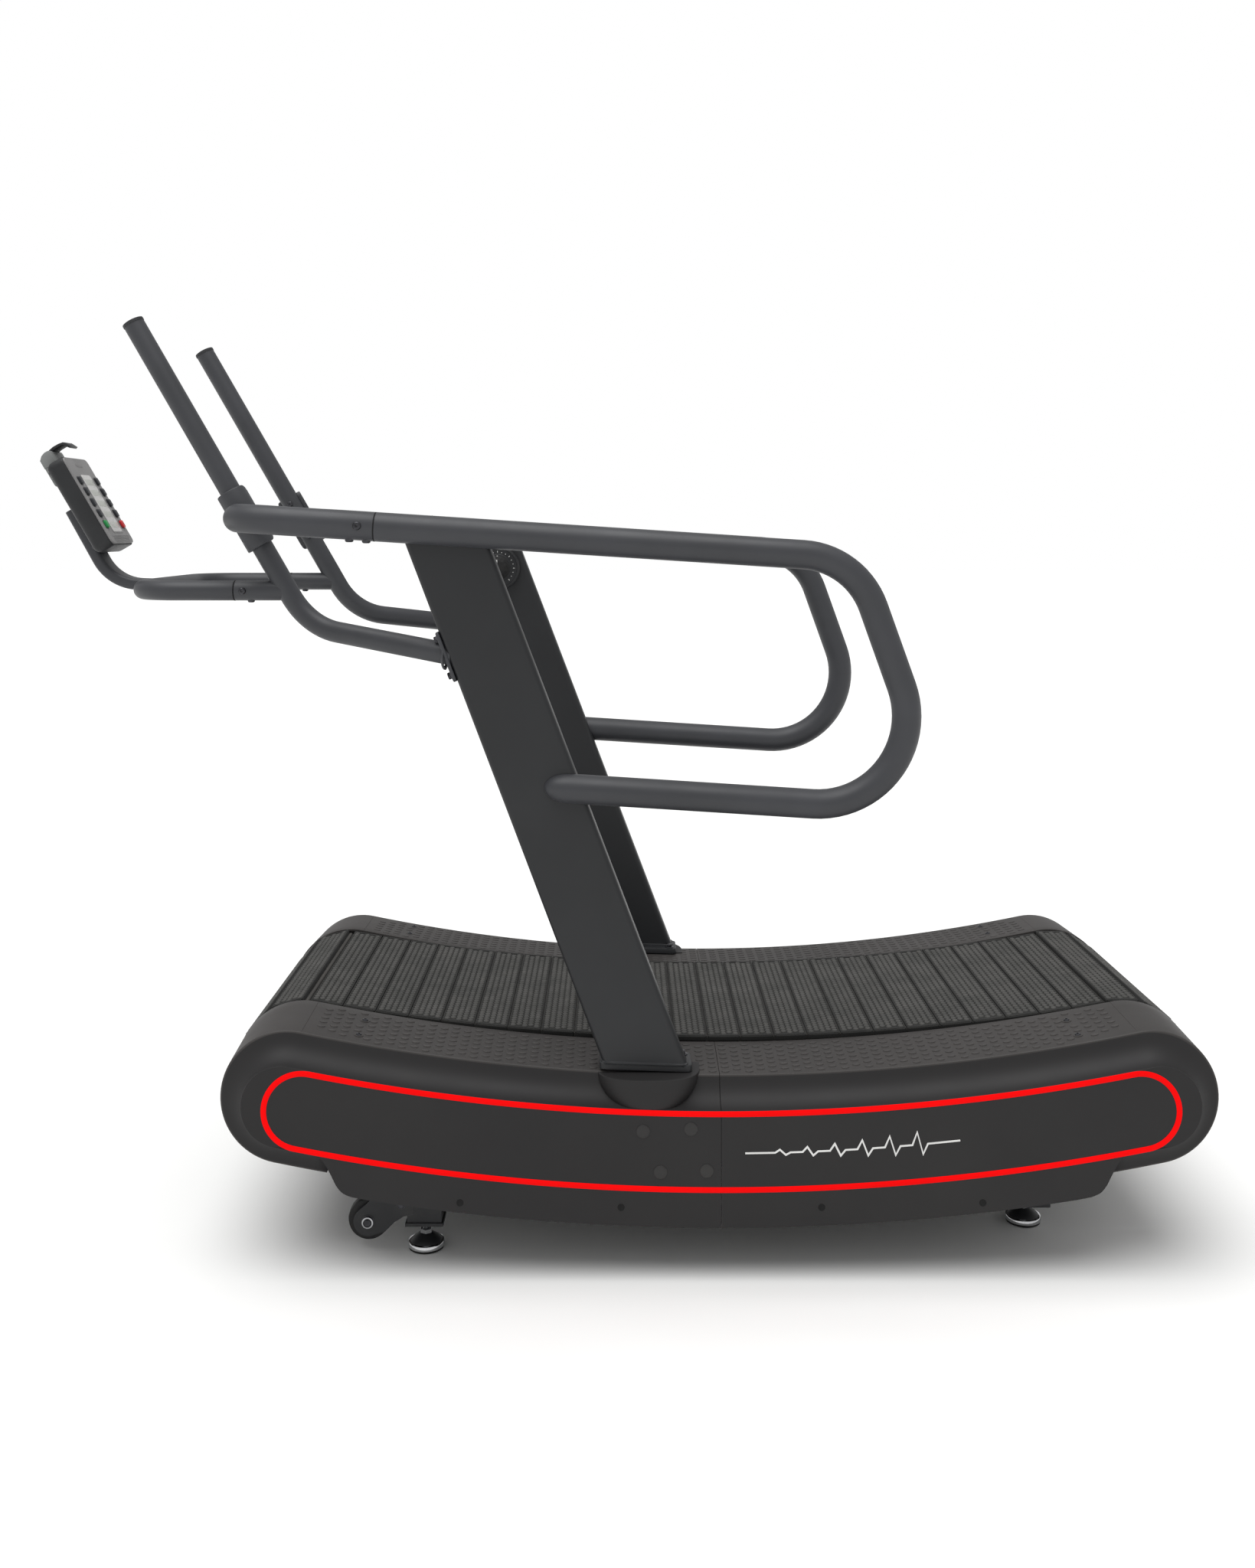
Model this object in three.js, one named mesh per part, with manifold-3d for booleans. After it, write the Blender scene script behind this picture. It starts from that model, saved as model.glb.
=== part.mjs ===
// Curved manual treadmill, in millimetres, +Z up.
// +X points to the rear of the machine, so the runner faces -X. -Y is the runner's left.
// Left-hand pieces are built once and mirrored in Y for the right-hand side.
import * as THREE from 'three';
import { mergeVertices } from 'three/addons/utils/BufferGeometryUtils.js';
import Module from 'manifold-3d';

const wasm = await Module();
wasm.setup();

// ---- driving dimensions ----
const GAP = 0.3;                 // air between touching pieces
const BODY_X = 218.7;            // middle of the running deck, from the middle of the whole machine

// Running deck, seen from the side: everything follows one arc whose centre is above the deck.
const ARC_Z = 3902;              // height of the arc's centre
const DRUM_X = 738;              // drum axles, in front of and behind the middle of the deck
const DRUM_Z = 292;
const ARC_R = Math.hypot(DRUM_X, ARC_Z - DRUM_Z);
const ARC_END = Math.asin(DRUM_X / ARC_R);

// Side covers: heights above or below the arc, and distances out from the centre plane.
const CREASE_D = 114;            // outline of the sharp edge between step and rim
const STEP_D = 120.7;            // inner edge of the step
const FACE_D = 68.5;             // outline of the flat side face
const SKIRT_D = 127;             // lower edge of the skirt
const STEP_W = 235;              // inner edge of the step
const CREASE_W = 378;
const FACE_W = 422;
const WALL = 4;                  // thickness of the moulded covers
const FLANGE_D = 60;             // where the rim's shell overlaps the flat side face
const UNDER_X = 650;             // rear end of the rim under the front lobe
const SEAM_X = 0.4;              // half the seam between front and rear covers

// Slat belt
const BELT_MID_Z = 333;          // pitch line of the upper run at the middle of the deck
const RETURN_MID_Z = 131;        // pitch line of the lower run at the middle
const PITCH_R = 106;             // pitch radius on the drums
const SLAT_PITCH = 60;
const SLAT_GAP = 2.2;            // between two slats on the straight
const SLAT_PHASE = 17.5;         // where the first slat stands along the belt's route
const SLAT_W = 228;              // half the belt's width
const SLAT_TOP = 13;             // tread face above the pitch line
const PULLEY_R = 101.5;

// Frame
const FRAME_W0 = 262;            // side frame, inner and outer face
const FRAME_W1 = 282;
const FRAME_D = 75;              // half the side frame's height

// Uprights and rails
const LEAN = 20.87;              // lean of the uprights, degrees from vertical
const POST_W = 361;              // middle of the upright, out from the centre plane
const POST_T = 42;
const POST_CHORD = 142.4;        // width of the upright along X
const POST_BASE_X = -125.8;      // middle of the upright's foot
const POST_BASE_Z = 345;
const FLANGE_Z = 338.2;          // underside of the upright's flange below the upright's middle
const FLANGE_SLOPE = 0.0351;     // the flange follows the deck, falling towards the rear
const RAIL_W = 380;
const RAIL_R = 25;
const RAIL_X = 80.2;             // a point on the top rail's axis, and its fall per unit towards the rear
const RAIL_Z = 1221.8;
const RAIL_SLOPE = 0.0647;
const RAIL_JOINT_X = -587;       // seam between the handrail and the front rail
const RAIL_UPPER_BEND_X = 232;   // corners of the rear loop, before rounding
const RAIL_LOWER_BEND_X = 386;
const RAIL_BENDS = [135, 150];   // radii of those two corners
const BAR_X = 159;               // a point on the lower bar's axis, and its fall per unit
const BAR_Z = 793.1;
const BAR_SLOPE = 0.0629;
const BAR_END_X = -259;
const BAR_NOSE = 1.6;            // length of the bar's rounded end over its radius
const HANDLE_W = 230;
const HANDLE_R = 19;
const LOOP_R = 18;
const LOOP = { z: 1150, front: -1051, joint: -864 };  // console loop: height, front bar and seams

// Console, leaning 30.5 degrees like the handles
const CONSOLE_LEAN = 30.5;
const CONSOLE_X = -1190;
const CONSOLE_Z = 1317;
const CONSOLE_H = 198;
const CONSOLE_W = 130;
const CONSOLE_T = 41;
const HOLDER = {
  w: 58, slide: 60, rise: 21, front: -28,
  hookW: 38, hookT: 3.5, hookLift: 5, tip: 14, tipZ: 109,
};

// Feet and wheels
const FOOT_FRONT = { x: -510, w: 299, holder: 49 };
const FOOT_REAR = { x: 565, w: 202, holder: 60 };
const STEM_R = 6;
const STEM_HOLE_R = 6.5;
const WHEEL = { x: -608, z: 57, r: 36, w: 308, t: 24, bore: 6 };

// ---- finishes ----
const finishes = {
  frame: { color: 0x3a3b3d, roughness: 0.45, metalness: 0.6 },
  cover: { color: 0x4a4644, roughness: 0.6, metalness: 0 },
  slat: { color: 0x2b2b2b, roughness: 0.85, metalness: 0 },
  steel: { color: 0xb5b7ba, roughness: 0.3, metalness: 1 },
  rubber: { color: 0x151515, roughness: 0.9, metalness: 0 },
  plastic: { color: 0x1d1d1f, roughness: 0.5, metalness: 0 },
  panel: { color: 0x8b8e92, roughness: 0.4, metalness: 0.2 },
  screen: { color: 0xc9cfc4, roughness: 0.15, metalness: 0 },
  green: { color: 0x2f9a46, roughness: 0.4, metalness: 0 },
  red: { color: 0xc1272d, roughness: 0.4, metalness: 0 },
};

// ---- solids ----
const deg = THREE.MathUtils.degToRad;
const vec = (x, y, z) => new THREE.Vector3(x, y, z);

function toSolid(geometry) {
  const bare = geometry.index ? geometry.toNonIndexed() : geometry.clone();
  bare.deleteAttribute('normal');
  bare.deleteAttribute('uv');
  const merged = mergeVertices(bare, 1e-3);
  const vertProperties = new Float32Array(merged.attributes.position.array);
  const triVerts = new Uint32Array(merged.index.array);
  return new wasm.Manifold(new wasm.Mesh({ numProp: 3, vertProperties, triVerts }));
}

function toGeometry(solid) {
  const mesh = solid.getMesh();
  const geometry = new THREE.BufferGeometry();
  geometry.setAttribute('position', new THREE.BufferAttribute(mesh.vertProperties, 3));
  geometry.setIndex(new THREE.BufferAttribute(mesh.triVerts, 1));
  return geometry;
}

function flat(points) {
  return points.map(([a, b]) => new THREE.Vector2(a, b));
}

function shapeOf(points) {
  return new THREE.Shape(flat(points));
}

function unite(solids) {
  return solids.reduce((sum, solid) => sum.add(solid));
}

function box(x0, x1, y0, y1, z0, z1) {
  const geometry = new THREE.BoxGeometry(x1 - x0, y1 - y0, z1 - z0);
  return toSolid(geometry.translate((x0 + x1) / 2, (y0 + y1) / 2, (z0 + z1) / 2));
}

// Cylinder with its axis along Y, from y0 to y1
function rodY(x, z, r, y0, y1, sides = 16) {
  const geometry = new THREE.CylinderGeometry(r, r, y1 - y0, sides);
  return toSolid(geometry.translate(x, (y0 + y1) / 2, z));
}

// Cylinder with its axis along Z, from z0 to z1
function rodZ(x, y, r, z0, z1, sides = 16) {
  const geometry = new THREE.CylinderGeometry(r, r, z1 - z0, sides).rotateX(Math.PI / 2);
  return toSolid(geometry.translate(x, y, (z0 + z1) / 2));
}

// Outline in the XZ plane, given as [x, z] points, thickened from y0 to y1
function plate(points, y0, y1, holes = []) {
  const shape = shapeOf(points);
  for (const hole of holes) {
    shape.holes.push(new THREE.Path(flat(hole)));
  }
  const geometry = new THREE.ExtrudeGeometry(shape, { depth: y1 - y0, bevelEnabled: false });
  return toSolid(geometry.rotateX(Math.PI / 2).translate(0, y1, 0));
}

// Points on a circle arc in the XZ plane, angles in degrees from +X towards +Z
function arcPoints(x, z, r, from, to, steps) {
  const points = [];
  for (let i = 0; i <= steps; i += 1) {
    const angle = deg(from + ((to - from) * i) / steps);
    points.push([x + r * Math.cos(angle), z + r * Math.sin(angle)]);
  }
  return points;
}

// Curve through a list of stations, each with its own point, tangent, normal and binormal
class StationCurve extends THREE.Curve {
  constructor(stations) {
    super();
    this.stations = stations;
  }

  station(u) {
    return this.stations[Math.round(u * (this.stations.length - 1))];
  }

  getPointAt(u) {
    return this.station(u).point.clone();
  }

  getTangentAt(u) {
    return this.station(u).tangent.clone();
  }

  computeFrenetFrames() {
    return {
      tangents: this.stations.map((s) => s.tangent),
      normals: this.stations.map((s) => s.normal),
      binormals: this.stations.map((s) => s.binormal),
    };
  }
}

// Sweeps a shape through stations
function sweep(shape, stations) {
  const options = { steps: stations.length - 1, extrudePath: new StationCurve(stations) };
  return toSolid(new THREE.ExtrudeGeometry(shape, { ...options, bevelEnabled: false }));
}

// Stations along straight runs with round bends, turning the section as little as possible
function bentStations(corners, radii, degreesPerStep = 12) {
  const stations = [];
  const push = (point, tangent) => stations.push({ point, tangent });
  push(corners[0].clone(), corners[1].clone().sub(corners[0]).normalize());
  for (let i = 1; i < corners.length - 1; i += 1) {
    const into = corners[i].clone().sub(corners[i - 1]).normalize();
    const out = corners[i + 1].clone().sub(corners[i]).normalize();
    const turn = into.angleTo(out);
    const axis = into.clone().cross(out).normalize();
    const start = corners[i].clone().addScaledVector(into, -radii[i - 1] * Math.tan(turn / 2));
    const centre = start.clone().addScaledVector(axis.clone().cross(into), radii[i - 1]);
    const steps = Math.max(1, Math.ceil(THREE.MathUtils.radToDeg(turn) / degreesPerStep));
    for (let k = 0; k <= steps; k += 1) {
      const angle = (turn * k) / steps;
      const arm = start.clone().sub(centre).applyAxisAngle(axis, angle);
      push(centre.clone().add(arm), into.clone().applyAxisAngle(axis, angle));
    }
  }
  const last = corners.length - 1;
  push(corners[last].clone(), corners[last].clone().sub(corners[last - 1]).normalize());
  const first = stations[0].tangent;
  let normal = (Math.abs(first.y) > 0.9 ? vec(1, 0, 0) : vec(0, 1, 0)).cross(first).normalize();
  stations.forEach((station, i) => {
    if (i > 0) {
      const turned = new THREE.Quaternion();
      turned.setFromUnitVectors(stations[i - 1].tangent, station.tangent);
      normal = normal.clone().applyQuaternion(turned).normalize();
    }
    station.normal = normal;
    station.binormal = station.tangent.clone().cross(normal);
  });
  return stations;
}

function circleShape(r, sides) {
  return shapeOf(arcPoints(0, 0, r, 0, 360 - 360 / sides, sides - 1));
}

function bentTube(corners, radii, r, sides = 12) {
  return sweep(circleShape(r, sides), bentStations(corners, radii));
}

function roundedRect(width, height, radius, steps = 3) {
  const points = [];
  const corners = [[1, 1, 0], [-1, 1, 90], [-1, -1, 180], [1, -1, 270]];
  for (const [sx, sy, from] of corners) {
    const cx = sx * (width / 2 - radius);
    const cy = sy * (height / 2 - radius);
    points.push(...arcPoints(cx, cy, radius, from, from + 90, steps));
  }
  return points;
}

// ---- assembly ----
const treadmill = new THREE.Group();
const deck = new THREE.Group();
deck.position.x = BODY_X;
treadmill.add(deck);

function add(name, solid, finish) {
  const mesh = new THREE.Mesh(toGeometry(solid), new THREE.MeshStandardMaterial(finishes[finish]));
  mesh.name = name;
  deck.add(mesh);
}

function addPair(name, solid, finish) {
  add(`${name}_left`, solid, finish);
  add(`${name}_right`, solid.mirror([0, 1, 0]), finish);
}

// ---- running deck outline ----
// Height of the line that lies d outside (above) the deck's arc
function arcHeight(x, d) {
  return ARC_Z - Math.sqrt((ARC_R - d) ** 2 - x * x);
}

// Station on the deck's middle line; turn is the direction of "outside", in degrees from +X towards +Z
function deckStation(x, z, turn) {
  const normal = vec(Math.cos(turn), 0, Math.sin(turn));
  return { point: vec(x, 0, z), tangent: vec(normal.z, 0, -normal.x), normal, binormal: vec(0, -1, 0) };
}

// Front half of the cover's route: under the front lobe, round it and back along the top to the seam
function coverStations() {
  const stations = [];
  const startAngle = Math.asin(UNDER_X / ARC_R);
  for (let i = 0; i < 2; i += 1) {
    const a = startAngle + ((ARC_END - startAngle) * i) / 2;
    stations.push(deckStation(-ARC_R * Math.sin(a), ARC_Z - ARC_R * Math.cos(a), -Math.PI / 2 - a));
  }
  const lobeSteps = 9;
  for (let i = 0; i <= lobeSteps; i += 1) {
    const a = -Math.PI / 2 - ARC_END - (Math.PI * i) / lobeSteps;
    stations.push(deckStation(-DRUM_X, DRUM_Z, a));
  }
  const seamAngle = Math.asin(SEAM_X / ARC_R);
  const topSteps = 5;
  for (let i = 1; i <= topSteps; i += 1) {
    const a = ARC_END + ((seamAngle - ARC_END) * i) / topSteps;
    stations.push(deckStation(-ARC_R * Math.sin(a), ARC_Z - ARC_R * Math.cos(a), Math.PI / 2 - a));
  }
  return stations;
}

// Section of the moulded cover: [height outside the arc, distance out from the centre plane]
function coverSection() {
  const outer = [];
  const inner = [];
  const steps = 3;
  const rise = CREASE_D - FACE_D;
  const reach = FACE_W - CREASE_W;
  for (let i = 0; i <= steps; i += 1) {
    const a = (Math.PI / 2) * (i / steps);
    const d = CREASE_D - rise * Math.sin(a);
    const w = CREASE_W + reach * (1 - Math.cos(a));
    const length = Math.hypot(reach * Math.sin(a), rise * Math.cos(a));
    const inD = d - (WALL * reach * Math.sin(a)) / length;
    const inW = w - (WALL * rise * Math.cos(a)) / length;
    outer.push([d, w]);
    inner.push([i === 0 ? d - WALL : inD, Math.min(inW, FACE_W - WALL)]);
  }
  const flange = [[FLANGE_D, FACE_W], [FLANGE_D, FACE_W - WALL]];
  const lip = 8;
  const innerEdge = [
    [STEP_D - WALL, STEP_W + WALL],
    [STEP_D - lip, STEP_W + WALL],
    [STEP_D - lip, STEP_W],
    [STEP_D, STEP_W],
  ];
  const points = [...outer, ...flange, ...inner.reverse(), ...innerEdge];
  return shapeOf(points);
}

// Flat side face of the front cover, down to the lower edge of the skirt
function coverFace() {
  const points = [];
  for (let i = 0; i <= 6; i += 1) {
    const x = -SEAM_X - ((DRUM_X - 14 - SEAM_X) * i) / 6;
    points.push([x, arcHeight(x, FACE_D)]);
  }
  const lobeTop = 90 + THREE.MathUtils.radToDeg(ARC_END);
  points.push(...arcPoints(-DRUM_X, DRUM_Z, FACE_D, lobeTop, lobeTop + 160, 9));
  points.push([-676, 205], [-657, 181], [-640, 153], [-616, 139.5]);
  for (let i = 0; i <= 6; i += 1) {
    const x = -590 + ((590 - SEAM_X) * i) / 6;
    points.push([x, arcHeight(x, -SKIRT_D)]);
  }
  return plate(points, -FACE_W, -FACE_W + WALL);
}

// Scallop under the upright's flange: an upright oval that fades into the flared rim
const SCALLOP = { x: POST_BASE_X + 4, y: -340, rx: 88, ry: 80, bottom: 272, top: 334, sides: 24 };

function scallop(grow, top) {
  const { rx, ry, sides, bottom } = SCALLOP;
  const circle = arcPoints(0, 0, 1, 0, 360 - 360 / sides, sides - 1);
  const oval = shapeOf(circle.map(([x, y]) => [x * (rx + grow), y * (ry + grow)]));
  const geometry = new THREE.ExtrudeGeometry(oval, { depth: top - bottom, bevelEnabled: false });
  return toSolid(geometry.translate(SCALLOP.x, SCALLOP.y, bottom));
}

// Space inside the rim, which the scallop must leave free
function rimInside() {
  const back = 300;
  const face = FACE_W - WALL - 0.2;
  const crease = [[CREASE_D + 4, back], [CREASE_D - 2, CREASE_W - WALL]];
  const section = [[FLANGE_D, back], ...crease, [FACE_D - 2.5, face], [FLANGE_D, face]];
  return sweep(shapeOf(section), coverStations());
}

function buildCovers() {
  const shell = sweep(coverSection(), coverStations()).add(coverFace());
  const outboard = box(-260, 0, -FACE_W, -CREASE_W + 6, 250, 340);
  const hollow = scallop(-WALL, SCALLOP.top - WALL);
  const boss = scallop(0, SCALLOP.top).subtract(hollow).intersect(outboard).subtract(rimInside());
  const postHole = box(-196, -56, -377, -322, 270, 380);
  const front = shell.add(boss).subtract(postHole);
  const skidOutline = [[655, 160], [745, 166], [772, 173], [784, 192], [700, 190], [655, 185]];
  const skid = plate(skidOutline, -374, -300);
  const rear = shell.mirror([1, 0, 0]).add(skid);
  addPair('side_cover_front', front, 'cover');
  addPair('side_cover_rear', rear, 'cover');
}

// ---- slat belt ----
// Route of the belt's pitch line: upper run, rear drum, lower run, front drum
function beltRoute() {
  const sum = DRUM_X ** 2 + DRUM_Z ** 2;
  const topZ = (sum - (BELT_MID_Z - PITCH_R) ** 2) / (2 * (DRUM_Z + PITCH_R - BELT_MID_Z));
  const lowZ = (sum - (RETURN_MID_Z + PITCH_R) ** 2) / (2 * (DRUM_Z - PITCH_R - RETURN_MID_Z));
  const topR = topZ - BELT_MID_Z;
  const lowR = lowZ - RETURN_MID_Z;
  const topHalf = Math.atan2(DRUM_X, topZ - DRUM_Z);
  const lowHalf = Math.atan2(DRUM_X, lowZ - DRUM_Z);
  const wrap = Math.PI - topHalf + lowHalf;
  const lengths = [2 * topHalf * topR, wrap * PITCH_R, 2 * lowHalf * lowR, wrap * PITCH_R];
  const total = lengths.reduce((a, b) => a + b);
  const at = (distance) => {
    let s = ((distance % total) + total) % total;
    let piece = 0;
    while (piece < 3 && s > lengths[piece]) {
      s -= lengths[piece];
      piece += 1;
    }
    if (piece === 0) {
      const a = -topHalf + s / topR;
      return { x: topR * Math.sin(a), z: topZ - topR * Math.cos(a), out: Math.PI / 2 + a };
    }
    if (piece === 2) {
      const a = lowHalf - s / lowR;
      return { x: lowR * Math.sin(a), z: lowZ - lowR * Math.cos(a), out: -Math.PI / 2 + a };
    }
    const side = piece === 1 ? 1 : -1;
    const start = piece === 1 ? Math.PI / 2 + topHalf : -Math.PI / 2 - lowHalf;
    const a = start - s / PITCH_R;
    return { x: side * DRUM_X + PITCH_R * Math.cos(a), z: DRUM_Z + PITCH_R * Math.sin(a), out: a };
  };
  return { total, at, topLength: lengths[0] };
}

const SLAT_BACK = 3;             // underside and shoulder of the belt, from the pitch line

// Belt point at a distance along the route, raised by h and moved by t along the local tangent
function beltPoint(place, t, h) {
  const nx = Math.cos(place.out);
  const nz = Math.sin(place.out);
  return [place.x + nx * h + nz * t, place.z + nz * h - nx * t];
}

function buildBelt() {
  const route = beltRoute();
  const count = Math.round(route.total / SLAT_PITCH);
  const pitch = route.total / count;
  const half = (pitch - SLAT_GAP) / 2;
  const outer = [];
  const inner = [];
  for (let i = 0; i < count; i += 1) {
    const middle = route.at(i * pitch + SLAT_PHASE);
    const joint = route.at((i + 0.5) * pitch + SLAT_PHASE);
    outer.push(beltPoint(middle, -half, SLAT_BACK), beltPoint(middle, -half, SLAT_TOP));
    outer.push(beltPoint(middle, half, SLAT_TOP), beltPoint(middle, half, SLAT_BACK));
    inner.push(beltPoint(middle, 0, -SLAT_BACK), beltPoint(joint, 0, -SLAT_BACK));
  }
  outer.reverse();
  inner.reverse();
  add('slat_belt', plate(outer, -SLAT_W, SLAT_W, [inner]), 'slat');
}

// ---- drums ----
const SHAFT_R = 12.5;
const BORE_R = SHAFT_R + 0.4;
const BEARING_R = 26;

// Closed [radius, y] outline turned about a drum's axis, or a line parallel to it
function lathe(profile, x, z, sides = 24) {
  const geometry = new THREE.LatheGeometry(flat(profile), sides);
  return toSolid(geometry.translate(x, 0, z));
}

function buildDrum(where, x) {
  const shaft = rodY(x, DRUM_Z, SHAFT_R, -297, 297);
  add(`${where}_drum_shaft`, shaft, 'steel');
  const profile = [
    [BORE_R, -220], [30, -220], [30, -212], [PULLEY_R, -212],
    [PULLEY_R, -176], [30, -176], [30, -168], [BORE_R, -168], [BORE_R, -220],
  ];
  addPair(`${where}_pulley`, lathe(profile, x, DRUM_Z, 20), 'frame');
  const bearing = [
    [BORE_R, -283], [BEARING_R, -283], [BEARING_R, -261], [BORE_R, -261], [BORE_R, -283],
  ];
  addPair(`${where}_bearing`, lathe(bearing, x, DRUM_Z, 16), 'steel');
}

const YOKE_X = 116;              // pivot of the magnet yoke, behind the front axle

function buildBrake() {
  const disc = [[BORE_R, 236], [22, 236], [22, 240], [90, 240], [90, 246], [BORE_R, 246], [BORE_R, 236]];
  add('brake_disc', lathe(disc, -DRUM_X, DRUM_Z, 20), 'steel');
  const px = -DRUM_X + YOKE_X;
  const reach = 46;
  const arm = [
    ...arcPoints(px, DRUM_Z, 12, -80, 80, 6),
    ...arcPoints(px - reach, DRUM_Z, 15, 100, 260, 6),
  ];
  const cheeks = unite([plate(arm, 234, 238.6), plate(arm, 247.4, 252)]);
  const hub = rodY(px, DRUM_Z, 11, 234, 252);
  const yoke = cheeks.add(hub).subtract(rodY(px, DRUM_Z, 4.4, 230, 256, 12));
  add('magnet_yoke', yoke, 'frame');
}

// ---- frame ----
function sideFrame() {
  const lower = [];
  const upper = [];
  const steps = 10;
  for (let i = 0; i <= steps; i += 1) {
    const a = -ARC_END + (2 * ARC_END * i) / steps;
    lower.push([(ARC_R + FRAME_D) * Math.sin(a), ARC_Z - (ARC_R + FRAME_D) * Math.cos(a)]);
    upper.push([(ARC_R - FRAME_D) * Math.sin(a), ARC_Z - (ARC_R - FRAME_D) * Math.cos(a)]);
  }
  const end = THREE.MathUtils.radToDeg(ARC_END);
  const rear = arcPoints(DRUM_X, DRUM_Z, FRAME_D, -90 + end, 90 + end, 8).slice(1, -1);
  const front = arcPoints(-DRUM_X, DRUM_Z, FRAME_D, 90 - end, 270 - end, 8).slice(1, -1);
  const outline = [...lower, ...rear, ...upper.reverse(), ...front];
  const bores = [-DRUM_X, DRUM_X].map((x) => arcPoints(x, DRUM_Z, BEARING_R + GAP, 0, 345, 23));
  const web = plate(outline, -FRAME_W1, -FRAME_W0, bores);
  const shelf = box(-200, -50, -372, -FRAME_W1 + 1, 236, 326);
  const seatTop = (x) => [x, flangeHeight(x) - GAP];
  const seat = plate([[-192, 320], [-60, 320], seatTop(-60), seatTop(-192)], -372, -324);
  const [legX0, legX1] = [FOOT_REAR.x - 27, FOOT_REAR.x + 27];
  const rearLeg = box(legX0, legX1, -FRAME_W1, -FRAME_W0, FOOT_REAR.holder, 200);
  const rearPad = box(legX0, legX1, -FRAME_W1, 30 - FOOT_REAR.w, FOOT_REAR.holder, 92);
  const stemHole = rodZ(FOOT_REAR.x, -FOOT_REAR.w, STEM_HOLE_R, 40, 110, 12);
  return unite([web, shelf, seat, rearLeg, rearPad]).subtract(stemHole);
}

function buildFrame() {
  const left = sideFrame();
  add('side_frame_left', left, 'frame');
  const yokePin = rodY(-DRUM_X + YOKE_X, DRUM_Z, 4, 232, 263, 12);
  add('side_frame_right', left.mirror([0, 1, 0]).add(yokePin), 'frame');
  const places = { front: -430, middle: 0, rear: 430 };
  for (const [where, x] of Object.entries(places)) {
    const z = arcHeight(x, 0);
    const half = FRAME_W0 - GAP;
    add(`cross_tube_${where}`, box(x - 30, x + 30, -half, half, z - 20, z + 20), 'frame');
  }
}

const ROLLER_R = 15;

// Curved rail with guide rollers that carry the slats of the upper run
function buildRollerRails() {
  const route = beltRoute();
  const top = [];
  const bottom = [];
  const rollers = [];
  const steps = 9;
  const reach = 1180;
  const start = (route.topLength - reach) / 2;
  for (let i = 0; i <= steps; i += 1) {
    const place = route.at(start + (reach * i) / steps);
    top.push(beltPoint(place, 0, -11));
    bottom.push(beltPoint(place, 0, -36));
    const [x, z] = beltPoint(place, 0, -SLAT_BACK - ROLLER_R - 0.4);
    rollers.push(rodY(x, z, ROLLER_R, -216, -196, 10));
    rollers.push(rodY(x, z, 5, -220, -215, 6));
  }
  const strip = plate([...bottom, ...top.reverse()], -FRAME_W0 + GAP, -218);
  addPair('roller_rail', unite([strip, ...rollers]), 'frame');
}

// ---- uprights and rails ----
function flangeHeight(x) {
  return FLANGE_Z - (x - POST_BASE_X) * FLANGE_SLOPE;
}

function postMiddle(z) {
  return POST_BASE_X - (z - POST_BASE_Z) * Math.tan(deg(LEAN));
}

// Side outline of the upright between two heights, swollen by grow
function postOutline(grow, z0, z1) {
  const half = POST_CHORD / 2 + grow;
  return [
    [postMiddle(z0) - half, z0], [postMiddle(z0) + half, z0],
    [postMiddle(z1) + half, z1], [postMiddle(z1) - half, z1],
  ];
}

// Upright's tube; grow swells it evenly so that it can cut what is welded to it
function postBar(grow, z0, z1) {
  const bevel = 7;
  const points = postOutline(grow - bevel, z0, z1);
  const depth = POST_T + 2 * grow - 2 * bevel;
  const options = { depth, bevelThickness: bevel, bevelSize: bevel, bevelSegments: 2 };
  const geometry = new THREE.ExtrudeGeometry(shapeOf(points), { ...options, bevelEnabled: true });
  return toSolid(geometry.rotateX(Math.PI / 2).translate(0, -POST_W + depth / 2, 0));
}

function railHeight(x) {
  return RAIL_Z - RAIL_SLOPE * (x - RAIL_X);
}

function barHeight(x) {
  return BAR_Z - (x - BAR_X) * BAR_SLOPE;
}

// One bent tube: top rail, rear bends and lower bar, from front to rear and back to the upright
function handrailRoute() {
  return [
    vec(RAIL_JOINT_X + GAP / 2, -RAIL_W, railHeight(RAIL_JOINT_X)),
    vec(RAIL_UPPER_BEND_X, -RAIL_W, railHeight(RAIL_UPPER_BEND_X)),
    vec(RAIL_LOWER_BEND_X, -RAIL_W, barHeight(RAIL_LOWER_BEND_X)),
    vec(BAR_END_X, -RAIL_W, barHeight(BAR_END_X)),
  ];
}

// Rounded end of the lower bar where it dies away on the upright's outer face
function barNose() {
  const geometry = new THREE.SphereGeometry(RAIL_R, 12, 8).rotateZ(Math.PI / 2).scale(BAR_NOSE, 1, 1);
  return toSolid(geometry.translate(BAR_END_X, -RAIL_W, barHeight(BAR_END_X)));
}

function buildUprights() {
  const railCut = bentTube(handrailRoute().slice(0, 3), [RAIL_BENDS[0]], RAIL_R + GAP);
  const [x0, x1] = [-205, -47];
  const seat = (x, rise) => [x, flangeHeight(x) + rise];
  const flange = plate([seat(x0, 0), seat(x1, 0), seat(x1, 12), seat(x0, 12)], -382, -316);
  const top = 1262;
  const above = plate([seat(-700, 1), seat(100, 1), [100, top], [-700, top]], -500, -200);
  const bar = postBar(0, POST_BASE_Z, top + 8).intersect(above);
  addPair('upright', bar.add(flange).subtract(railCut), 'frame');
  const rail = bentTube(handrailRoute(), RAIL_BENDS, RAIL_R).add(barNose());
  const cope = plate(postOutline(GAP, 700, 1000), -POST_W - POST_T / 2 - GAP, -POST_W + 60);
  addPair('handrail', rail.subtract(cope), 'frame');
}

const HANDLE_SLOPE = 0.5776;      // forward lean of the push handles, per unit of height

function handleX(z) {
  return -896.2 - (z - 1370) * HANDLE_SLOPE;
}

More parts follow.
